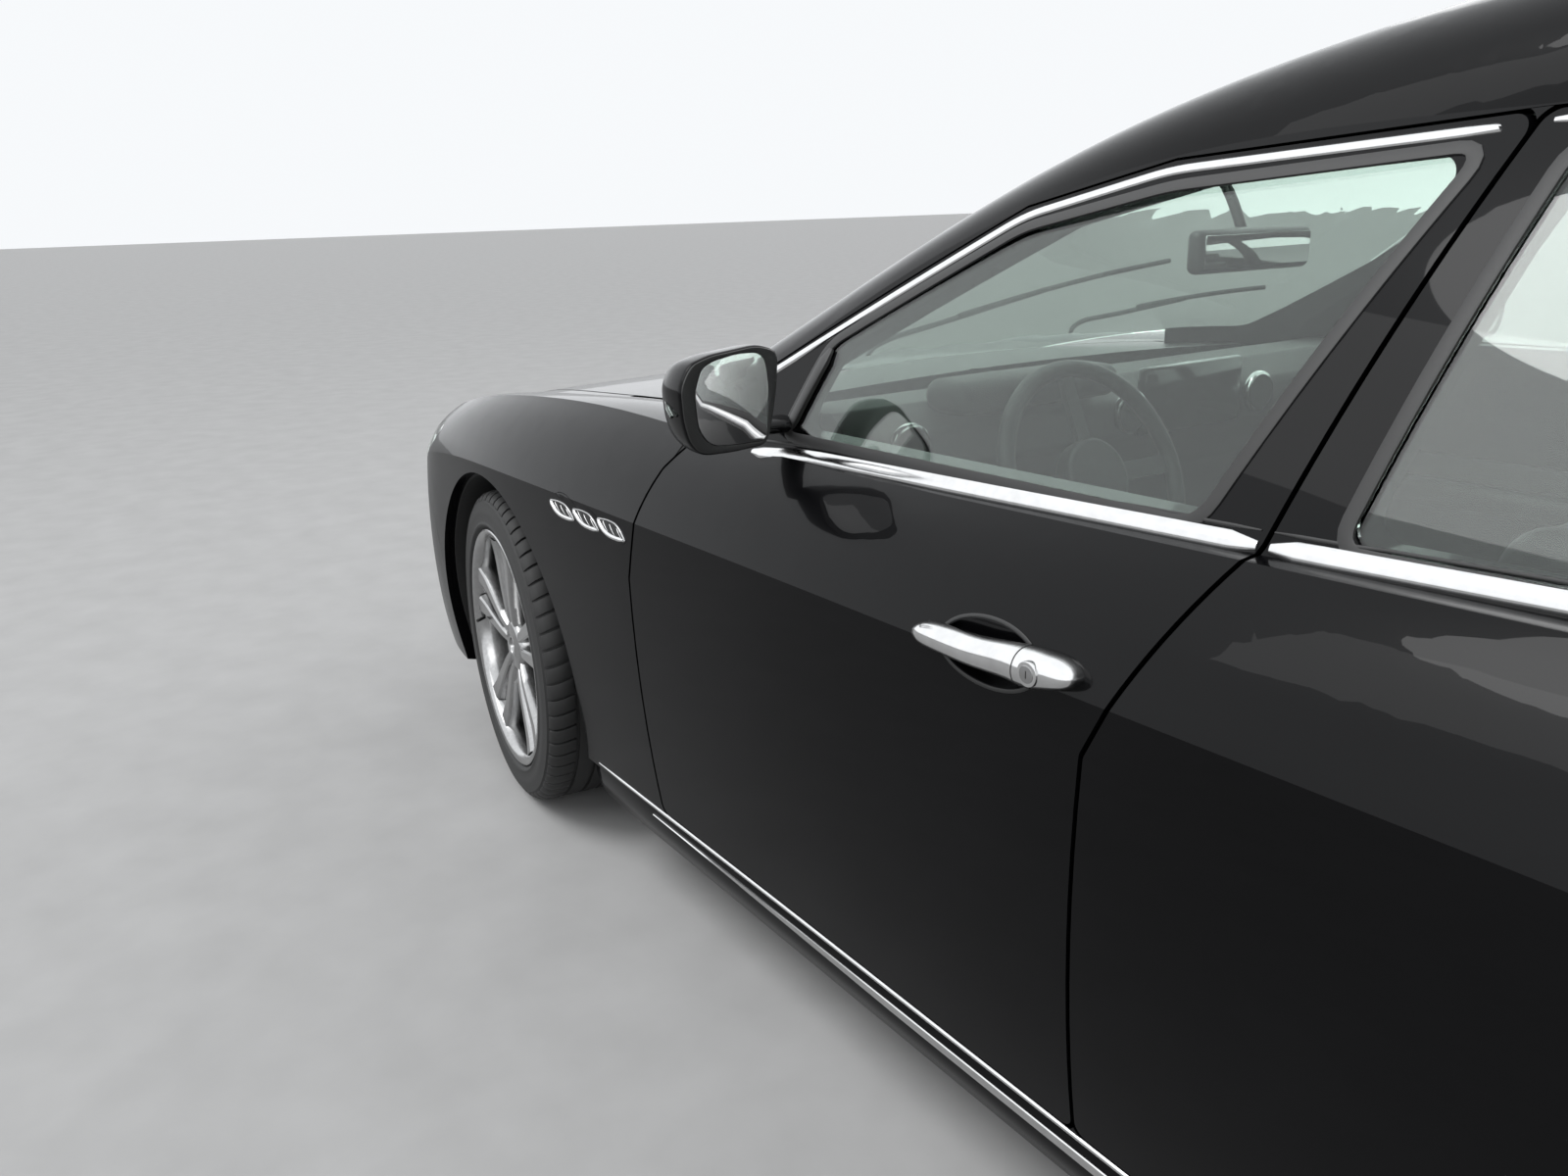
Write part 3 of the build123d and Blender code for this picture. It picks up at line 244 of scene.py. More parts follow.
def block(name, centre, size, finish, body, bevel=0.002, segments=2):
    bpy.ops.mesh.primitive_cube_add(size=1, location=(at(centre[0]), centre[1], centre[2]))
    piece = bpy.context.object
    piece.scale = size
    bpy.ops.object.transform_apply(location=False, rotation=False, scale=True)
    rounded(piece, bevel, segments)
    return settle(piece, name, finish, body)


def drum(name, start, end, radius, finish, body, bevel=0.001, vertices=32):
    line = end - start
    bpy.ops.mesh.primitive_cylinder_add(vertices=vertices, radius=radius, depth=line.length,
                                        location=(start + end) / 2,
                                        rotation=line.to_track_quat("Z", "Y").to_euler())
    piece = bpy.context.object
    if bevel:
        rounded(piece, bevel)
    return settle(piece, name, finish, body)


def tube(name, points, radius, finish, body):
    curve = bpy.data.curves.new(name, "CURVE")
    curve.dimensions = "3D"
    curve.bevel_depth = radius
    curve.bevel_resolution = 4
    curve.use_fill_caps = True
    spline = curve.splines.new("NURBS")
    spline.points.add(len(points) - 1)
    for knot, point in zip(spline.points, points):
        knot.co = (*point, 1)
    spline.order_u = 3
    spline.use_endpoint_u = True
    spline.resolution_u = 6
    holder = linked(name + "Line", curve)
    bpy.context.view_layer.update()
    mesh = bpy.data.meshes.new_from_object(holder.evaluated_get(bpy.context.evaluated_depsgraph_get()))
    piece = linked(name, mesh)
    bpy.data.objects.remove(holder)
    return settle(piece, name, finish, body)


def ringed(name, rings, finish, body, smooth=50, loop=False):
    # A skin through rings of as many points each, capped at both ends or closed in a loop
    count, size = len(rings), len(rings[0])
    points = [point for ring in rings for point in ring]
    faces = [] if loop else [tuple(range(size)), tuple(range((count - 1) * size, count * size))]
    for row in range(count if loop else count - 1):
        here, there = row * size, (row + 1) % count * size
        for step in range(size):
            after = (step + 1) % size
            faces.append((here + step, here + after, there + after, there + step))
    return meshPiece(name, points, faces, finish, body, smooth=smooth)


def spun(name, profile, turn, finish, body, steps=96, smooth=35):
    # profile holds (radius, distance out), closed, turned about the wheel's own axle
    rings = []
    for angle in around(steps):
        rings.append([turn @ Vector((radius * math.cos(angle), out, radius * math.sin(angle)))
                      for radius, out in profile])
    return ringed(name, rings, finish, body, smooth, True)


# The body's side, found by looking straight in from outside
sideNodes = ["side", "door_front", "door_rear", "door_glass_front", "door_glass_rear"]
glassInset = 0.003
# Where rays start, clear of the car
clear = {"side": 1.5, "above": 2.2, "ahead": 3.4, "behind": -4}
castOn = dict(frame["nodes"])


def cast(names, start, direction):
    best = None
    for name in names:
        hit, place, normal, _ = castOn[name].ray_cast(start, direction)
        if hit and (best is None or (place - start).length < (best[0] - start).length):
            lift = glassInset if "glass" in name else 0.0
            best = (place + normal * lift, normal)
    return best


def sidePoint(s, z, side, extra=()):
    names = [f"{name}_{side}" for name in sideNodes] + ["cargo_glass", *extra]
    return cast(names, carPoint(s, clear["side"] * sides[side], z), Vector((0, -sides[side], 0)))


def roundLine(points, radius, closed=False, steps=5):
    # The corners of a side-view line, rounded and cut into short runs
    line = []
    count = len(points)
    for index in range(count):
        here = Vector(points[index])
        if not closed and index in (0, count - 1):
            line.append(here)
            continue
        before, after = Vector(points[index - 1]) - here, Vector(points[(index + 1) % count]) - here
        cut = min(radius, before.length * 0.45, after.length * 0.45)
        start, end = here + before.normalized() * cut, here + after.normalized() * cut
        for step in range(steps + 1):
            share = step / steps
            line.append(start * (1 - share) ** 2 + here * 2 * share * (1 - share) + end * share**2)
    return spaced(line, closed)


def spaced(line, closed, gap=0.03):
    points = []
    ends = line[1:] + line[:1] if closed else line[1:]
    for start, end in zip(line, ends):
        runs = max(1, math.ceil((end - start).length / gap))
        points += [start.lerp(end, run / runs) for run in range(runs)]
    if not closed:
        points.append(line[-1])
    return points


def offsetLine(points, distance, closed=False):
    # Shifts a side-view line to its right by a distance; s runs backwards and z up
    moved = []
    count = len(points)
    for index, here in enumerate(points):
        before = points[index - 1] if closed or index else here
        after = points[(index + 1) % count] if closed or index < count - 1 else here
        along = (Vector(after) - Vector(before)).normalized()
        moved.append(Vector(here) + Vector((along.y, -along.x)) * distance)
    return moved


bandShape = [(-0.5, -0.25), (-0.42, 0.55), (-0.2, 0.93), (0.0, 1.0), (0.2, 0.93), (0.42, 0.55), (0.5, -0.25)]
flatShape = [(-0.5, -0.25), (-0.46, 0.8), (-0.36, 1.0), (0.36, 1.0), (0.46, 0.8), (0.5, -0.25)]


def band(name, line, width, height, side, finish, body, closed=False, shape=bandShape, extra=()):
    # A moulding laid along a side-view line on the body, rounded at its ends
    spots = []
    for point in line:
        spot = sidePoint(point[0], point[1], side, extra)
        if spot:
            spots.append(spot)
    count = len(spots)
    rings = []
    for index, (place, _) in enumerate(spots):
        before = spots[index - 1][0] if closed or index else place
        after = spots[(index + 1) % count][0] if closed or index < count - 1 else place
        near = [spots[(index + step) % count][1] for step in (-1, 0, 1)
                if closed or 0 <= index + step < count]
        normal = sum(near, Vector()).normalized()
        across = normal.cross((after - before).normalized()).normalized()
        end = not closed and index in (0, count - 1)
        wide, high = width * (0.45 if end else 1), height * (0.5 if end else 1)
        rings.append([place + across * share * wide + normal * rise * (high if rise > 0 else height)
                      for share, rise in shape])
    return ringed(name, rings, finish, body, 50, closed)


def eased(rows, steps=4):
    # More rows between those of a table, on a smooth curve through them
    fine = []
    last = len(rows) - 1
    for index in range(last):
        before, start, end, after = (rows[min(max(index + step, 0), last)] for step in (-1, 0, 1, 2))
        for step in range(steps):
            share = step / steps
            fine.append(tuple(
                b + 0.5 * share * (c - a + share * (2 * a - 5 * b + 4 * c - d + share * (3 * (b - c) + d - a)))
                for a, b, c, d in zip(before, start, end, after)))
    fine.append(rows[last])
    return fine


def aroundMiddle(loop, middle, count=72):
    # The outline's points at even angles round a middle
    spots = []
    for angle in around(count):
        ray = Vector((math.cos(angle), math.sin(angle)))
        best = 0.0
        for index, start in enumerate(loop):
            a, b = Vector(start) - middle, Vector(loop[(index + 1) % len(loop)]) - middle
            cross = ray.x * (b.y - a.y) - ray.y * (b.x - a.x)
            if abs(cross) < 1e-12:
                continue
            along = (a.x * (b.y - a.y) - a.y * (b.x - a.x)) / cross
            share = (a.x * ray.y - a.y * ray.x) / cross
            if along > best and -1e-9 <= share <= 1 + 1e-9:
                best = along
        spots.append(middle + ray * best)
    return spots


def curvedSheet(name, us, vs, pointAt, thick, finish, body):
    points = [pointAt(u, v) for u in us for v in vs]
    rows = len(vs)
    faces = [(i * rows + j, i * rows + j + 1, (i + 1) * rows + j + 1, (i + 1) * rows + j)
             for i in range(len(us) - 1) for j in range(rows - 1)]
    piece = unfinished(name, points, faces)
    applied(piece, "SOLIDIFY", thickness=thick, offset=0)
    rounded(piece, min(0.0008, thick / 3))
    return settle(piece, name, finish, body)


def around(count):
    return [2 * math.pi * step / count for step in range(count)]


def span(low, high, count):
    return [low + (high - low) * index / (count - 1) for index in range(count)]


# Side-view lines of the doors and windows, as (s, z)
doorTop = {
    "front": [(0.872, 1.026), (1.13, 1.17), (1.315, 1.272), (1.516, 1.32), (1.893, 1.346)],
    "rear": [(1.911, 1.348), (2.3, 1.367), (2.778, 1.3843)],
}
windows = {
    "front": [(1.003, 0.962), (1.042, 1.086), (1.33, 1.242), (1.53, 1.285), (1.862, 1.312), (1.73, 0.97)],
    "rear": [(1.885, 0.975), (1.944, 1.315), (2.708, 1.346), (2.712, 0.992)],
    "cargo": [(2.868, 1.0), (2.868, 1.35), (3.5, 1.368), (4.3, 1.363), (4.56, 1.342), (4.74, 1.01)],
}
windowCorner = {"front": 0.025, "rear": 0.025, "cargo": 0.03}
beltLine = {
    "front": [(0.945, 0.93), (1.1, 0.938), (1.45, 0.949), (1.804, 0.9605)],
    "rear": [(1.818, 0.961), (2.09, 0.9715), (2.45, 0.981), (2.779, 0.9875)],
    "cargo": [(2.794, 0.988), (3.5, 0.993), (4.3, 0.996), (4.72, 0.998)],
}
cargoTop = [(2.792, 1.385), (3.5, 1.402), (4.3, 1.398), (4.62, 1.386)]
sillEnds = [(0.44, 0.2412), (3.36, 0.2412)]
moulding = {
    "belt": 0.025, "beltHeight": 0.0055, "under": 0.004, "underHeight": 0.002, "top": 0.013,
    "topDown": 0.013, "cargoDown": 0.0115, "seal": 0.016, "sealHeight": 0.0022, "sealOut": 0.0045,
    "sill": 0.007, "height": 0.003,
}


def sideBody(place, side):
    return "shell" if place == "cargo" else f"{place}_door_{side}"


skirtShape = [(0.927, 0.2365), (0.929, 0.225), (0.9265, 0.2), (0.917, 0.169), (0.908, 0.161),
              (0.89, 0.163), (0.855, 0.1795), (0.89, 0.205)]
skirtPlaces = [(0.395, 0.55), (0.41, 0.85), (0.445, 1.0), (0.8, 1.0), (1.5, 1.0), (2.2, 1.0), (2.9, 1.0),
               (3.33, 1.0), (3.375, 0.85), (3.392, 0.55)]
skirtMiddle = Vector((0.89, 0.2))
# The bright band on the skirt: its shape holds (share of its width, how far out)
skirtBand = {
    "ends": (0.665, 3.3), "rings": 24, "top": 0.2255, "width": (0.003, 0.0165), "grown": 0.7,
    "face": 0.9287, "slope": 0.11,
    "shape": [(0.0, -0.002), (0.12, 0.0022), (0.5, 0.0036), (0.88, 0.0022), (1.0, -0.002)],
}


def addSkirt(side):
    sign = sides[side]
    rings = []
    for s, share in skirtPlaces:
        ring = [skirtMiddle + (Vector(point) - skirtMiddle) * share for point in skirtShape]
        rings.append([carPoint(s, sign * point.x, point.y) for point in ring])
    ringed(f"sillSkirt_{side}", rings, "paint", "shell", 40)
    rings = []
    start, end = skirtBand["ends"]
    narrow, wide = skirtBand["width"]
    for s in span(start, end, skirtBand["rings"]):
        width = narrow + (wide - narrow) * min(1.0, (s - start) / skirtBand["grown"])
        ring = []
        for across, out in skirtBand["shape"]:
            down = across * width
            y = skirtBand["face"] - down * skirtBand["slope"] + out
            ring.append(carPoint(s, sign * y, skirtBand["top"] - down))
        rings.append(ring)
    ringed(f"skirtBand_{side}", rings, "chrome", "shell", 40)


def addMouldings():
    for side in sides:
        for place, points in beltLine.items():
            body = sideBody(place, side)
            line = spaced([Vector(point) for point in points], False)
            band(f"beltMoulding_{place}_{side}", line, moulding["belt"], moulding["beltHeight"], side,
                 "chrome", body)
            under = offsetLine(line, -(moulding["belt"] + moulding["under"]) / 2)
            band(f"beltSeal_{place}_{side}", under, moulding["under"], moulding["underHeight"], side,
                 "seal", body, shape=flatShape)
            loop = roundLine(windows[place], windowCorner[place], closed=True)
            seal = offsetLine(loop, -moulding["sealOut"], closed=True)
            band(f"windowSeal_{place}_{side}", seal, moulding["seal"], moulding["sealHeight"], side, "seal",
                 body, closed=True, shape=flatShape)
        for place, points in doorTop.items():
            line = offsetLine(roundLine(points, 0.03), moulding["topDown"])
            band(f"windowTopMoulding_{place}_{side}", line, moulding["top"], moulding["height"], side,
                 "chrome", sideBody(place, side))
        top = offsetLine(roundLine(cargoTop, 0.03), moulding["cargoDown"])
        band(f"windowTopMoulding_cargo_{side}", top, moulding["top"], moulding["height"], side, "chrome",
             "shell")
        sill = spaced([Vector(point) for point in sillEnds], False, 0.1)
        band(f"sillLine_{side}", sill, moulding["sill"], moulding["height"], side, "chrome", "shell",
             extra=["wings"])
        addSkirt(side)
    print("mouldings and seals")


# Door furniture and the wings' vents
ventOvals = [(0.459, 0.776), (0.553, 0.768), (0.647, 0.759)]
ventLeaves = [(0.448, 0.762), (0.549, 0.763), (0.648, 0.765)]
leafLine = [(-0.057, 0.009), (-0.018, 0.013), (0.012, 0.012), (0.031, 0.003), (0.043, -0.008),
            (0.045, -0.012), (0.018, -0.016), (-0.01, -0.016), (-0.033, -0.011), (-0.048, -0.002)]
leafChrome = [(-0.053, 0.008), (-0.045, 0.001), (-0.031, -0.008), (-0.01, -0.0128), (0.018, -0.013),
              (0.041, -0.0112)]
ventPatch = {"half": (0.0475, 0.0165), "slope": 0.105, "bulge": 0.0012, "proud": 0.0004, "sunk": 3}
ventMesh = {"middle": -0.004, "proud": 0.0009, "sunk": -0.001}
ventTrim = {"frame": (0.0032, 0.0022), "crescent": (0.009, 0.0046), "fin": (0.0016, 0.0022)}
ventFin = {"count": 3, "start": (-0.034, 0.0095), "step": (0.026, -0.002), "run": (0.02, -0.0165)}


def shifted(points, s, z):
    return [Vector((s + ds, z + dz)) for ds, dz in points]


def closeOval(index, side):
    # A patch of paint over one of the wing's plain ovals
    s, z = ventOvals[index]
    halfS, halfZ = ventPatch["half"]
    rim = []
    for angle in around(32):
        along = halfS * math.cos(angle)
        rim.append(sidePoint(s + along, z + halfZ * math.sin(angle) - along * ventPatch["slope"], side,
                             ["wings"])[0])
    middle = sum(rim, Vector()) / len(rim) + Vector((0, sides[side] * ventPatch["bulge"], 0))
    outwards = Vector((0, sides[side] * ventPatch["proud"], 0))
    rings = [[place - outwards * ventPatch["sunk"] for place in rim]]
    for share in (0.985, 0.6, 0.25):
        rings.append([middle.lerp(place, share) + outwards for place in rim])
    name = f"ventPatch_{index}_{side}"
    castOn[name] = ringed(name, rings, "paint", "shell", 60)
    return name


def addVents():
    for side in sides:
        extra = ["wings"] + [closeOval(index, side) for index in range(len(ventOvals))]
        for index, (s, z) in enumerate(ventLeaves):
            leaf = roundLine(shifted(leafLine, s, z), 0.012, closed=True, steps=4)
            middle = Vector((s + ventMesh["middle"], z))
            inside = aroundMiddle(leaf, middle, 40)
            rings = []
            for share in (1.0, 0.97, 0.5, 0.1):
                ring = []
                for spot in inside:
                    surface, normal = sidePoint(*middle.lerp(spot, share), side, extra)
                    ring.append(surface + normal * ventMesh["proud" if share < 1 else "sunk"])
                rings.append(ring)
            ringed(f"ventMesh_{index}_{side}", rings, "mesh", "shell", 60)
            band(f"ventFrame_{index}_{side}", leaf, *ventTrim["frame"], side, "darkChrome", "shell",
                 closed=True, extra=extra)
            edge = roundLine(shifted(leafChrome, s, z), 0.012, steps=4)
            band(f"ventCrescent_{index}_{side}", edge, *ventTrim["crescent"], side, "chrome", "shell",
                 extra=extra)
            for fin in range(ventFin["count"]):
                root = Vector((s, z)) + Vector(ventFin["start"]) + Vector(ventFin["step"]) * fin
                line = spaced([root, root + Vector(ventFin["run"])], False, 0.008)
                band(f"ventFin_{index}_{fin}_{side}", line, *ventTrim["fin"], side, "darkChrome", "shell",
                     extra=extra)
    print("vents")


handlePlaces = {"front": 1.56, "rear": 2.65}
handleBase = 0.962
# Places along the handle from its door's bowl middle: ds, low z, high z, how far out, how far in
handleRings = [
    (-0.116, 0.8035, 0.806, 0.004, 0.01), (-0.1125, 0.7975, 0.8115, 0.01, 0.012),
    (-0.0985, 0.792, 0.819, 0.016, 0.012), (-0.08, 0.7907, 0.8225, 0.019, 0.01),
    (-0.053, 0.7905, 0.8246, 0.021, 0.004), (-0.009, 0.7901, 0.8268, 0.022, 0.003),
    (0.042, 0.7928, 0.834, 0.024, 0.004), (0.07, 0.7925, 0.8368, 0.026, 0.01),
    (0.09, 0.795, 0.8374, 0.026, 0.016), (0.112, 0.801, 0.8366, 0.024, 0.018),
    (0.126, 0.806, 0.8325, 0.02, 0.018), (0.134, 0.811, 0.827, 0.013, 0.018),
    (0.1376, 0.8165, 0.8215, 0.004, 0.016),
]


def handleRing(place, side, row, grow=0.0):
    ds, low, high, out, back = row
    ring = []
    for angle in around(40):
        rise, reach = math.cos(angle), math.sin(angle)
        depth = (out + grow) * abs(reach) ** 0.85 if reach > 0 else -back * abs(reach) ** 0.5
        z = (low + high) / 2 + ((high - low) / 2 + grow) * rise
        ring.append(carPoint(handlePlaces[place] + ds, sides[side] * (handleBase + depth), z))
    return ring


bowlSeal = {"half": (0.0775, 0.0362), "height": 0.807, "width": 0.0046, "proud": 0.0012}
handleSplit = {"row": (0.066, 0.7925, 0.8366, 0.0257, 0.01), "width": 0.0013, "proud": 0.0004}
# The lock at the handle's rear end: its drums hold name, length, radius, finish, bevel
lock = {"s": 0.0905, "y": 0.98, "z": 0.8175, "slotOut": 0.0096, "slot": (0.0014, 0.0008, 0.0085)}
lockDrums = [("lockRing", 0.0089, 0.0138, "chrome", 0.001),
             ("lockBarrel", 0.0097, 0.0098, "darkChrome", 0.0008)]


def addHandles():
    for side, sign in sides.items():
        for place, s in handlePlaces.items():
            body = sideBody(place, side)
            rings = [handleRing(place, side, row) for row in eased(handleRings)]
            handle = ringed(f"doorHandle_{place}_{side}", rings, "chrome", body, 60)
            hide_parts(f"handle_{place}_{side}")
            halfS, halfZ = bowlSeal["half"]
            bowl = [Vector((s + halfS * math.cos(angle), bowlSeal["height"] + halfZ * math.sin(angle)))
                    for angle in around(48)]
            band(f"bowlSeal_{place}_{side}", bowl, bowlSeal["width"], bowlSeal["proud"], side, "seal", body,
                 closed=True, shape=flatShape)
            row = handleSplit["row"]
            split = [handleRing(place, side, (row[0] + ds, *row[1:]), handleSplit["proud"])
                     for ds in (0, handleSplit["width"])]
            ringed(f"handleSplit_{place}_{side}", split, "seal", body)
            foot = carPoint(s + lock["s"], sign * lock["y"], lock["z"])
            for name, length, radius, finish, bevel in lockDrums:
                drum(f"{name}_{place}_{side}", foot, foot + Vector((0, length * sign, 0)), radius, finish,
                     body, bevel)
            block(f"lockSlot_{place}_{side}", (s + lock["s"], foot.y + lock["slotOut"] * sign, lock["z"]),
                  lock["slot"], "seal", body, 0.0002)
    print("handles")


# The door mirror from behind, as (y, z): its rim and its glass
mirrorRim = [
    (1.0525, 1.055), (1.0356, 1.0845), (1.0026, 1.0946), (0.9273, 1.1023), (0.8991, 1.0932),
    (0.894, 1.0817), (0.8979, 1.0392), (0.9057, 0.9983), (0.9144, 0.9695), (0.9226, 0.9627),
    (0.9699, 0.9592), (1.0137, 0.9598), (1.0291, 0.9653), (1.0417, 0.9805), (1.0496, 1.0084),
]
mirrorPane = [
    (1.0312, 1.0462), (1.0189, 1.078), (1.0031, 1.0864), (0.9637, 1.0937), (0.9317, 1.0931),
    (0.9218, 1.0876), (0.9153, 1.0734), (0.9118, 1.0406), (0.9178, 0.9788), (0.9224, 0.9697),
    (0.9694, 0.9696), (1.0013, 0.9716), (1.0147, 0.9788), (1.0273, 0.9973),
]
mirrorMiddle = Vector((0.973, 1.029))
# The housing's rings as (s, share of the rim), from the bezel forwards
mirrorRings = [(1.0675, 0.975), (1.0655, 0.992), (1.06, 1.0), (1.04, 0.985), (1.018, 0.94), (0.998, 0.86),
               (0.983, 0.74), (0.974, 0.57), (0.97, 0.3)]
# The bezel's and the glass's rings as (outline, s, share of it)
bezelRings = [("rim", 1.0662, 0.985), ("rim", 1.0688, 0.962), ("pane", 1.0692, 1.02), ("pane", 1.0688, 1.0),
              ("pane", 1.064, 1.0)]
glassRings = [("pane", 1.064, 0.995), ("pane", 1.0695, 0.985), ("pane", 1.0697, 0.97)]
# The arm's rings as (y, half height, half length), round one middle
armRings = [(0.836, 0.013, 0.029), (0.87, 0.0122, 0.026), (0.905, 0.0115, 0.023), (0.948, 0.011, 0.022)]
armMiddle = {"s": 0.99, "z": 0.9735}
signal = {"s": 1.046, "y": 1.0535, "z": 1.015, "forward": 0.012, "curve": 0.0014, "rise": 0.006,
          "radius": 0.0026}
sailLine = [(1.001, 0.968), (1.038, 1.084)]
innerMirror = {"s": 1.159, "z": 1.189, "size": (0.03, 0.3, 0.07), "glassS": 1.1755,
               "pane": (0.003, 0.276, 0.052), "stalk": 0.009}


def addMirrors():
    loops = {"rim": aroundMiddle(roundLine(mirrorRim, 0.012, closed=True, steps=4), mirrorMiddle),
             "pane": aroundMiddle(roundLine(mirrorPane, 0.01, closed=True, steps=4), mirrorMiddle)}
    for side, sign in sides.items():
        body = f"front_door_{side}"

        def ringAt(loop, s, share):
            ring = [mirrorMiddle + (spot - mirrorMiddle) * share for spot in loops[loop]]
            return [carPoint(s, sign * spot.x, spot.y) for spot in ring]

        rings = [ringAt("rim", s, share) for s, share in eased(mirrorRings, 3)]
        housing = ringed(f"mirrorHousing_{side}", rings, "paint", body, 60)
        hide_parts(f"mirror_{side}")
        ringed(f"mirrorBezel_{side}", [ringAt(*row) for row in bezelRings], "trim", body, 40)
        ringed(f"mirrorGlass_{side}", [ringAt(*row) for row in glassRings], "mirrorGlass", body, 20)
        rings = []
        for y, halfZ, halfS in armRings:
            rings.append([carPoint(armMiddle["s"] + halfS * math.cos(angle), sign * y,
                                   armMiddle["z"] + halfZ * math.sin(angle)) for angle in around(24)])
        ringed(f"mirrorArm_{side}", rings, "paint", body, 60)
        lamp = [carPoint(signal["s"] - signal["forward"] * step,
                         sign * (signal["y"] - signal["curve"] * step**2),
                         signal["z"] + signal["rise"] * step) for step in range(4)]
        tube(f"mirrorSignal_{side}", lamp, signal["radius"], "clearLens", body)
        line = spaced([Vector(point) for point in sailLine], False, 0.02)
        band(f"sailBar_{side}", offsetLine(line, 0.01), 0.02, 0.005, side, "trim", body, shape=flatShape)
    height = innerMirror["z"]
    block("innerMirror", (innerMirror["s"], 0.0, height), innerMirror["size"], "trim", "shell", 0.013,
          segments=4)
    block("innerMirrorGlass", (innerMirror["glassS"], 0.0, height), innerMirror["pane"], "mirrorGlass",
          "shell", 0.0012)
    roof = cast(["windscreen"], carPoint(1.09, 0, clear["above"]), Vector((0, 0, -1)))[0]
    stalk = [roof + Vector((0, 0, -0.006)), roof + Vector((-0.03, 0, -0.04)), carPoint(1.145, 0, 1.205)]
    tube("innerMirrorStalk", stalk, innerMirror["stalk"], "trim", "shell")
    print("mirrors")


# Wheels: each one's middle and axle, with its local y pointing outwards
def wheelTurn(wheel, sign):
    joint = joints[wheel]
    axle = Vector(joint["axis"]).normalized() * sign
    up = Vector((0, 0, 1))
    forward = axle.cross(up).normalized()
    turn = Matrix((forward, axle, up)).transposed().to_4x4()
    return Matrix.Translation(joint["pos_m"]) @ turn


tyreHalf = [
    (0.253, 0.109), (0.269, 0.1105), (0.2735, 0.1168), (0.2765, 0.1205), (0.28, 0.1218), (0.2835, 0.1206),
    (0.287, 0.1196), (0.299, 0.1214), (0.312, 0.1206), (0.324, 0.1178), (0.3275, 0.1176), (0.329, 0.1155),
    (0.337, 0.1075), (0.3425, 0.096), (0.3448, 0.088), (0.345, 0.06), (0.345, 0.0545), (0.3514, 0.054),
    (0.3517, 0.0225), (0.345, 0.022), (0.345, 0.0145), (0.3517, 0.014),
]
treadBlocks = {"count": 62, "gap": 0.16, "slant": 0.035}


def treadMesh(turn):
    points, faces = [], []
    pitch = 2 * math.pi / treadBlocks["count"]
    rows = [(0.0615, 0.3516), (0.086, 0.3511), (0.1, 0.3478), (0.109, 0.3415), (0.1135, 0.3345)]
    for half in (1, -1):
        for index in range(treadBlocks["count"]):
            start = (index + (0.5 if half < 0 else 0)) * pitch
            first = len(points)
            for out, radius in rows:
                slant = treadBlocks["slant"] * (out - 0.06) / 0.05
                for share in (0, 1 - treadBlocks["gap"]):
                    angle = start + share * pitch + slant
                    for level in (radius, radius - 0.009):
                        points.append(turn @ Vector((level * math.cos(angle), half * out,
                                                     level * math.sin(angle))))
            for row in range(len(rows) - 1):
                a, b = first + row * 4, first + row * 4 + 4
                faces += [(a, a + 2, b + 2, b), (a + 1, b + 1, b + 3, a + 3), (a, b, b + 1, a + 1),
                          (a + 2, a + 3, b + 3, b + 2)]
            last = first + (len(rows) - 1) * 4
            faces += [(first, first + 1, first + 3, first + 2), (last, last + 2, last + 3, last + 1)]
    return points, faces


rimProfile = [
    (0.2525, -0.108), (0.2525, 0.1085), (0.264, 0.1122), (0.2672, 0.1142), (0.2676, 0.1165),
    (0.2645, 0.118), (0.258, 0.1172), (0.25, 0.112), (0.2455, 0.104), (0.2425, 0.085), (0.24, 0.04),
    (0.24, -0.09), (0.244, -0.108),
]
hubProfile = [(0.019, 0.05), (0.019, 0.095), (0.02, 0.0968), (0.0222, 0.0974), (0.0245, 0.0962),
              (0.046, 0.0955), (0.056, 0.0925), (0.061, 0.085), (0.061, 0.033), (0.05, 0.033)]
spokes = {"count": 5, "first": 90, "bevel": 0.008, "fullBevelAt": 0.02, "flank": 0.0005, "side": 0.016,
          "edge": 0.0035}
# What turns with the rim: its place along the axle from and to, and its radius
wheelNuts = {"from": 0.0355, "to": 0.0545, "radius": 0.01, "circle": 0.073, "between": 36}
hubCap = {"from": 0.06, "to": 0.074, "radius": 0.0193}
brakeHat = {"from": 0.002, "to": 0.0365, "radius": 0.088}
valve = {"foot": (0.238, 0.1, 0.0), "run": (-0.018, 0.022, 0), "radius": 0.0038}
discProfile = [(0.088, 0.0166), (0.1685, 0.0166), (0.1685, -0.0126), (0.088, -0.0126), (0.088, 0.002)]
# One of a pair of spokes, outwards: radius, its middle's place beside the pair's, half width, face, back
spokeRings = [
    (0.04, 0.0135, 0.011, 0.09, 0.05), (0.062, 0.0155, 0.0125, 0.095, 0.048),
    (0.09, 0.019, 0.0145, 0.0985, 0.052), (0.125, 0.0245, 0.0165, 0.1005, 0.058),
    (0.165, 0.031, 0.019, 0.102, 0.066), (0.205, 0.037, 0.0215, 0.1035, 0.074),
    (0.235, 0.0405, 0.024, 0.107, 0.08), (0.244, 0.0415, 0.025, 0.1085, 0.082),
]


def onAxle(name, turn, shape, finish, body, bevel, vertices=32, beside=(0.0, 0.0)):
    ends = [turn @ Vector((beside[0], shape[end], beside[1])) for end in ("from", "to")]
    drum(name, *ends, shape["radius"], finish, body, bevel, vertices)


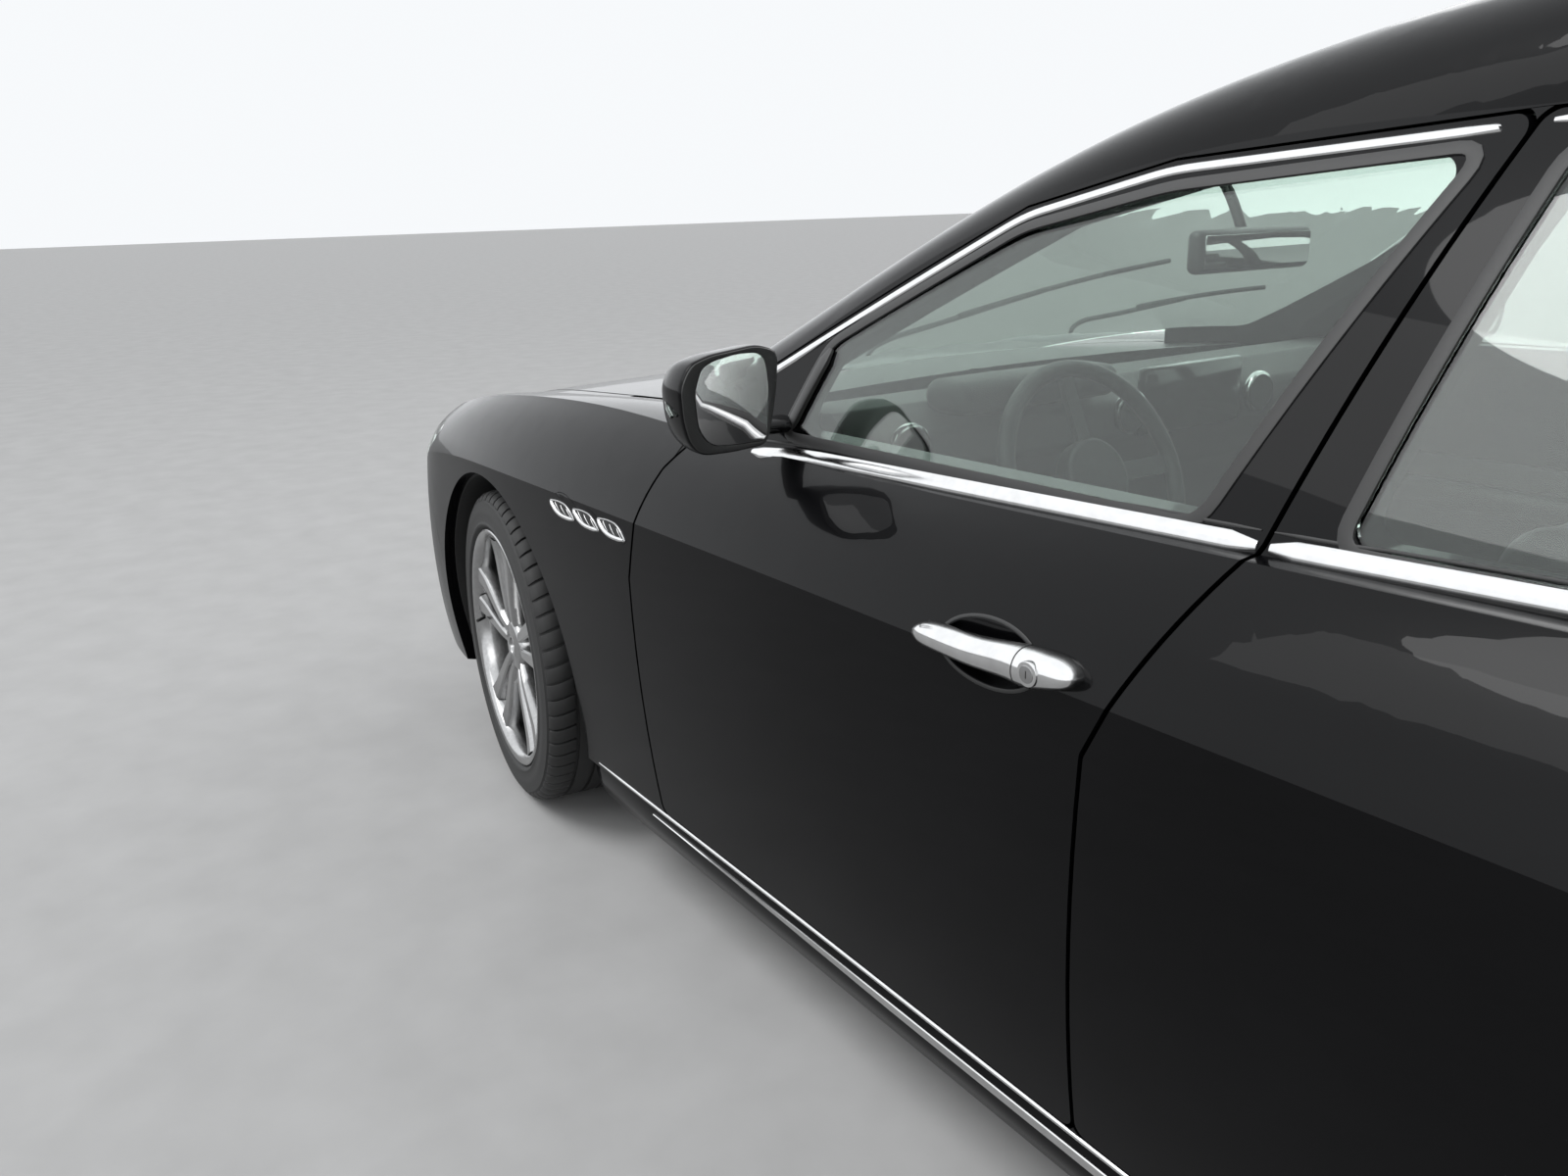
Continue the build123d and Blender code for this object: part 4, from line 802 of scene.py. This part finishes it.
def spokeRing(row, along, beside, half):
    radius, middle, width, face, back = row
    bevel = spokes["bevel"] * min(1.0, width / spokes["fullBevelAt"])
    flank, side, edge = spokes["flank"], face - spokes["side"], face - spokes["edge"]
    right = [(width - bevel, face), (width - bevel * 0.45, edge), (width + flank, side), (width, back)]
    left = [(-across, level) for across, level in reversed(right)]
    reach = math.sqrt(max(radius**2 - middle**2, 0.0009))
    out = Vector((0, 1, 0))
    return [along * reach + beside * (half * middle + across) + out * level for across, level in left + right]


def addRim(name, turn, body):
    rim = spun(f"alloyRim_{name}", rimProfile, turn, "darkChrome", body, 96, 30)
    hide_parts(f"rim_{name}")
    spun(f"wheelHub_{name}", hubProfile, turn, "darkChrome", body, 60, 40)
    for index in range(spokes["count"]):
        angle = spokes["first"] + index * 360 / spokes["count"]
        cosine, sine = math.cos(math.radians(angle)), math.sin(math.radians(angle))
        along, beside = Vector((cosine, 0, sine)), Vector((-sine, 0, cosine))
        for half, letter in ((-1, "a"), (1, "b")):
            rings = [[turn @ spot for spot in spokeRing(row, along, beside, half)]
                     for row in eased(spokeRings, 3)]
            ringed(f"spoke_{name}_{index}_{letter}", rings, "darkChrome", body, 28)
        bolt = math.radians(angle - wheelNuts["between"])
        place = wheelNuts["circle"] * math.cos(bolt), wheelNuts["circle"] * math.sin(bolt)
        onAxle(f"wheelNut_{name}_{index}", turn, wheelNuts, "disc", body, 0.0015, 6, place)
    onAxle(f"hubCap_{name}", turn, hubCap, "trim", body, 0.001)
    onAxle(f"brakeHat_{name}", turn, brakeHat, "disc", body, 0.002, 48)


def addWheels():
    profile = tyreHalf + [(radius, -out) for radius, out in reversed(tyreHalf)]
    for end in ("front", "rear"):
        for side, sign in sides.items():
            body = f"{end}_wheel_{side}"
            turn = wheelTurn(f"spin_{end}_{side}", sign)
            carcass = spun(f"tyreCarcass_{end}_{side}", profile, turn, "rubber", body, 124, 28)
            points, faces = treadMesh(turn)
            meshPiece(f"treadBlocks_{end}_{side}", points, faces, "rubber", body, 0.0012, 30)
            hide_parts(f"tyre_{end}_{side}")
            addRim(f"{end}_{side}", turn, body)
            foot = Vector(valve["foot"])
            drum(f"valve_{end}_{side}", turn @ foot, turn @ (foot + Vector(valve["run"])), valve["radius"],
                 "seal", body, 0.0008, 12)
            spun(f"brakeDisc_{end}_{side}", discProfile, turn, "disc", body, 64)
    print("wheels")


# Nose, tail and windscreen
lampPlaces = [(0.56, 0.655, 0.038), (0.655, 0.69, 0.036), (0.735, 0.725, 0.03)]  # y, z, radius
lampUnit = {"behind": 0.075, "bowl": (-0.02, 0.008), "rim": 0.006, "lens": (0.0, 0.016), "share": 0.78}
noseCurve = {"radius": 1.2, "back": -0.93, "plate": -0.9335, "plateShare": 0.9}
# Dark sheets behind the openings: name, half width, low z, high z
noseBacks = [("grilleBack", 0.335, 0.395, 0.648), ("intakeBack", 0.455, 0.262, 0.345)]
backDepth = 0.056
# On the tailgate: name, half width, columns, low z, high z, how far out, thickness, finish
tailSheets = [("rearPlate", 0.26, 9, 0.735, 0.845, 0.004, 0.003, "plate"),
              ("plateGarnish", 0.33, 11, 0.868, 0.892, 0.006, 0.014, "chrome")]
exhaustTip = {"place": (4.99, 0.42, 0.3), "radius": 0.0345, "length": 0.04, "bore": 0.03}


def noseDip(y):
    return noseCurve["radius"] - math.sqrt(noseCurve["radius"] ** 2 - y * y)


def addNose():
    ahead = Vector((1, 0, 0))
    for side, sign in sides.items():
        for index, (y, z, radius) in enumerate(lampPlaces):
            lens = cast(["headlamps"], Vector((clear["ahead"], sign * y, z)), -ahead)
            if lens is None:
                continue
            centre = Vector((lens[0].x - lampUnit["behind"], sign * y, z))
            start, end = (centre + ahead * reach for reach in lampUnit["bowl"])
            drum(f"lampBowl_{index}_{side}", start, end, radius + lampUnit["rim"], "lampInside", "shell",
                 0.004, 40)
            start, end = (centre + ahead * reach for reach in lampUnit["lens"])
            drum(f"lampLens_{index}_{side}", start, end, radius * lampUnit["share"], "screen", "shell",
                 0.006, 40)
    for name, half, low, high in noseBacks:
        curvedSheet(name, span(-half, half, 15), span(low, high, 3),
                    lambda y, z: carPoint(noseCurve["back"] + noseDip(y) + backDepth, y, z), 0.004,
                    "mesh", "shell")
    curvedSheet("frontPlate", span(-0.26, 0.26, 9), span(0.352, 0.462, 3),
                lambda y, z: carPoint(noseCurve["plate"] + noseDip(y) * noseCurve["plateShare"], y, z), 0.003,
                "plate", "shell")
    for name, half, columns, low, high, out, thick, finish in tailSheets:
        curvedSheet(name, span(-half, half, columns), span(low, high, 3),
                    lambda y, z: cast(["tailgate"], Vector((clear["behind"], y, z)), ahead)[0] - ahead * out,
                    thick, finish, "tailgate")
    for side, sign in sides.items():
        s, y, z = exhaustTip["place"]
        tip = carPoint(s, sign * y, z)
        spunRing(f"exhaustTip_{side}", tip, exhaustTip["radius"], exhaustTip["length"])
        drum(f"exhaustBore_{side}", tip + ahead * 0.002, tip - ahead * 0.0012, exhaustTip["bore"], "mesh",
             "shell", 0.0004)
    print("nose and tail")


def spunRing(name, tip, radius, length):
    turn = Matrix.Translation(tip) @ Matrix(((0, -1, 0), (0, 0, 1), (-1, 0, 0))).transposed().to_4x4()
    profile = [(radius - 0.004, 0.0), (radius, 0.003), (radius + 0.002, 0.0), (radius + 0.002, -length),
               (radius - 0.0005, -length), (radius - 0.004, -0.003)]
    return spun(name, profile, turn, "chrome", "shell", 48)


def onTop(s, y):
    return cast(["windscreen", "cowl", "bonnet", "wings", "roof"], carPoint(s, y, clear["above"]),
                Vector((0, 0, -1)))


wiperPlaces = [((0.5, 0.3), (0.8, -0.24)), ((0.5, -0.28), (0.77, -0.6))]  # foot and tip, as (s, y)
wiper = {"armOver": 0.014, "armRadius": 0.0055, "base": (-0.004, 0.022), "bladeOver": 0.006,
         "bladeRadius": 0.005, "bladeStart": (0.12, 0.25)}


def addWipers():
    for index, (foot, tip) in enumerate(wiperPlaces):
        foot, tip = Vector(foot), Vector(tip)
        line = [onTop(*foot.lerp(tip, share)) for share in (0.25, 0.4, 0.6)]
        points = [place + normal * wiper["armOver"] for place, normal in line]
        base = onTop(*foot)[0]
        stub = [base + Vector((0, 0, level)) for level in wiper["base"]]
        tube(f"wiperArm_{index}", stub + points, wiper["armRadius"], "trim", "shell")
        start = Vector((foot.x + wiper["bladeStart"][0], foot.y + (tip.y - foot.y) * wiper["bladeStart"][1]))
        blade = []
        for share in span(0, 1, 9):
            place, normal = onTop(*start.lerp(tip, share))
            blade.append(place + normal * wiper["bladeOver"])
        tube(f"wiperBlade_{index}", blade, wiper["bladeRadius"], "seal", "shell")
    print("wipers")


# Cabin
# Name, middle, size, finish, bevel, bevel's segments
cabinBlocks = [
    ("binnacle", (1.03, 0.385, 0.985), (0.1, 0.36, 0.055), "dash", 0.024, 4),
    ("centreScreen", (1.058, 0.0, 0.935), (0.02, 0.27, 0.12), "screen", 0.008, 2),
    ("console", (1.42, 0.0, 0.455), (0.72, 0.22, 0.14), "leather", 0.03, 4),
    ("consoleLid", (1.62, 0.0, 0.545), (0.26, 0.2, 0.05), "leather", 0.02, 4),
]
# Name, low z, high z, radius, finish, bevel
gearLever = [("gearKnob", 0.6, 0.66, 0.024, "leather", 0.012),
             ("gearStem", 0.52, 0.61, 0.008, "chrome", 0.001)]
gearLeverS = 1.33
airOutlets = [(1.064, 0.66), (1.068, 0.175)]  # s, y
outletZ = 0.925
doorTrims = [("front", 1.3, 0.62), ("rear", 2.35, 0.5)]  # door, s, length
armrest = {"y": 0.815, "z": 0.64, "width": 0.062, "height": 0.055}
doorCard = {"y": 0.841, "z": 0.52, "longer": 0.06, "width": 0.016, "height": 0.4}


def addCabin():
    for name, middle, size, finish, bevel, segments in cabinBlocks:
        block(name, middle, size, finish, "shell", bevel, segments=segments)
    for name, low, high, radius, finish, bevel in gearLever:
        drum(name, carPoint(gearLeverS, 0, low), carPoint(gearLeverS, 0, high), radius, finish, "shell",
             bevel)
    for side, sign in sides.items():
        for index, (s, y) in enumerate(airOutlets):
            outlet = carPoint(s, sign * y, outletZ)
            drum(f"airOutlet_{index}_{side}", outlet, outlet + Vector((-0.012, 0, 0)), 0.038, "chrome",
                 "shell", 0.003)
            drum(f"airGrille_{index}_{side}", outlet, outlet + Vector((-0.0135, 0, 0)), 0.032, "mesh",
                 "shell", 0.001)
        for place, s, length in doorTrims:
            body = sideBody(place, side)
            block(f"armrest_{place}_{side}", (s, sign * armrest["y"], armrest["z"]),
                  (length, armrest["width"], armrest["height"]), "leather", body, 0.018, segments=3)
            block(f"doorCard_{place}_{side}", (s, sign * doorCard["y"], doorCard["z"]),
                  (length + doorCard["longer"], doorCard["width"], doorCard["height"]), "leather", body,
                  0.007)
    print("cabin")


# Padded seats
seatCloth = {"voxel": 0.01, "pressure": 4.0, "cap": 0.024, "frames": 20, "shrink": 0.965}
seatChannels = {"front_seats": ("frontSeats", (0.05, 0.15)), "rear_bench": ("rearBench", (0.2, 0.42))}
channel = {"depth": 0.006, "width": 0.006}


def looseParts(nodeName):
    source = frame["nodes"][nodeName]
    copy = source.copy()
    copy.data = source.data.copy()
    bpy.context.scene.collection.objects.link(copy)
    pick(copy)
    bpy.ops.object.mode_set(mode="EDIT")
    bpy.ops.mesh.select_all(action="SELECT")
    bpy.ops.mesh.remove_doubles(threshold=0.00001)
    bpy.ops.mesh.separate(type="LOOSE")
    bpy.ops.object.mode_set(mode="OBJECT")
    return list(bpy.context.selected_objects)


def puffed(part):
    middle = sum((Vector(corner) for corner in part.bound_box), Vector()) / 8
    for vertex in part.data.vertices:
        vertex.co = middle + (vertex.co - middle) * seatCloth["shrink"]
    applied(part, "REMESH", mode="VOXEL", voxel_size=seatCloth["voxel"])
    before = [vertex.co.copy() for vertex in part.data.vertices]
    cloth = part.modifiers.new("air", "CLOTH")
    cloth.settings.use_pressure = True
    cloth.settings.uniform_pressure_force = seatCloth["pressure"]
    cloth.settings.effector_weights.gravity = 0
    cloth.point_cache.frame_start = 1
    cloth.point_cache.frame_end = seatCloth["frames"]
    for step in range(1, seatCloth["frames"] + 1):
        bpy.context.scene.frame_set(step)
    bpy.ops.object.modifier_apply(modifier=cloth.name)
    bpy.context.scene.frame_set(1)
    for vertex, start in zip(part.data.vertices, before):
        shift = vertex.co - start
        if shift.length > seatCloth["cap"]:
            vertex.co = start + shift.normalized() * seatCloth["cap"]
    applied(part, "SUBSURF", levels=1)
    return middle


def sewn(part, middle, channels):
    # Sewn channels: grooves across the car's width at the given distances from the seat's middle line
    for vertex in part.data.vertices:
        depth = 0.0
        for place in channels:
            gap = abs(abs(vertex.co.y - middle.y) - place)
            depth = max(depth, channel["depth"] * math.exp(-(gap / channel["width"]) ** 2))
        inward = (middle - vertex.co).normalized()
        vertex.co += inward * depth


def addSeats():
    for node, (name, channels) in seatChannels.items():
        parts = looseParts(node)
        for part in parts:
            middle = puffed(part)
            sewn(part, middle, channels)
        bpy.ops.object.select_all(action="DESELECT")
        for part in parts:
            part.select_set(True)
        bpy.context.view_layer.objects.active = parts[0]
        bpy.ops.object.join()
        seats = settle(bpy.context.object, name, "leather", "shell", 60)
        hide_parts(node)
    print("seats")


addMouldings()
addVents()
addHandles()
addMirrors()
addWheels()
addNose()
addWipers()
addCabin()
addSeats()

# Floor, light and camera
cameraFit = {"s": 2.488, "y": 1.836, "z": 1.282, "yaw": 33.49, "pitch": 17.36, "roll": -1.65, "lens": 28.15}
studio = {
    "floorHalf": 90.0, "floorColour": (0.5, 0.55), "sky": (0.93, 0.95, 0.97, 1), "skyLight": 0.5,
    "glossLight": 0.9, "sun": {"power": 1.25, "spread": 28.0, "height": 58.0, "turn": 62.0},
    "softBoxes": [  # name, place, size, power
        ("keyLight", (1.5, 6.5, 6.0), (7.0, 3.0), 120.0),
        ("rearLight", (-6.5, 4.5, 4.5), (4.0, 3.0), 80.0),
        ("farLight", (2.0, -7.0, 5.5), (7.0, 3.0), 120.0),
    ],
}


def addCamera(fit):
    yaw, pitch, roll = (math.radians(fit[key]) for key in ("yaw", "pitch", "roll"))
    forward = Vector((math.cos(pitch) * math.cos(yaw), -math.cos(pitch) * math.sin(yaw), -math.sin(pitch)))
    right = forward.cross(Vector((0, 0, 1))).normalized()
    up = right.cross(forward)
    rolledRight = math.cos(roll) * right + math.sin(roll) * up
    rolledUp = math.cos(roll) * up - math.sin(roll) * right
    turn = Matrix((rolledRight, rolledUp, -forward)).transposed().to_4x4()
    bpy.ops.object.camera_add()
    camera = bpy.context.object
    camera.name = "photoCamera"
    camera.matrix_world = Matrix.Translation((at(fit["s"]), fit["y"], fit["z"])) @ turn
    camera.data.lens = fit["lens"]
    camera.data.clip_end = 200
    bpy.context.scene.camera = camera


def mathNode(tree, operation, *values):
    node = tree.nodes.new("ShaderNodeMath")
    node.operation = operation
    for socket, value in zip(node.inputs, values):
        if isinstance(value, float):
            socket.default_value = value
        else:
            tree.links.new(value, socket)
    return node.outputs["Value"]


def addStudio():
    for name, place, size, power in studio["softBoxes"]:
        bpy.ops.object.light_add(type="AREA", location=place)
        lamp = bpy.context.object
        lamp.name = name
        lamp.data.shape = "RECTANGLE"
        lamp.data.size, lamp.data.size_y = size
        lamp.data.energy = power
        lamp.rotation_euler = (-Vector(place) + Vector((0, 0, 0.6))).to_track_quat("-Z", "Y").to_euler()
    bpy.ops.object.light_add(type="SUN", location=(0, 0, 10))
    sun = bpy.context.object
    sun.name = "evenLight"
    sun.data.energy = studio["sun"]["power"]
    sun.data.angle = math.radians(studio["sun"]["spread"])
    sun.rotation_euler = (0, math.radians(90 - studio["sun"]["height"]), math.radians(studio["sun"]["turn"]))
    world = bpy.data.worlds.new("paleStudio")
    bpy.context.scene.world = world
    world.use_nodes = True
    tree = world.node_tree
    background = tree.nodes["Background"]
    background.inputs["Color"].default_value = studio["sky"]
    rays = tree.nodes.new("ShaderNodeLightPath")
    strength = addNode(tree, "ShaderNodeMapRange", To_Min=studio["skyLight"], To_Max=1.0)
    seen = rays.outputs["Is Camera Ray"]
    for ray in ("Is Glossy Ray", "Is Transmission Ray"):
        seen = mathNode(tree, "MAXIMUM", seen, rays.outputs[ray])
    tree.links.new(seen, strength.inputs["Value"])
    total = mathNode(tree, "MULTIPLY_ADD", rays.outputs["Is Glossy Ray"], studio["glossLight"],
                     strength.outputs["Result"])
    tree.links.new(total, background.inputs["Strength"])
    bpy.ops.mesh.primitive_plane_add(size=2 * studio["floorHalf"], location=(0, 0, 0))
    floor = bpy.context.object
    floor.name = "studioFloor"
    material, tree, shader = newMaterial("paleFloor", Roughness=0.9, Specular_IOR_Level=0.1)
    colourFrom(tree, shader, noiseOnObject(tree, 6.0, 5.0), studio["floorColour"])
    floor.data.materials.append(material)
    bpy.context.scene.view_settings.view_transform = "Standard"


addCamera(cameraFit)
addStudio()
print("camera, light and floor")
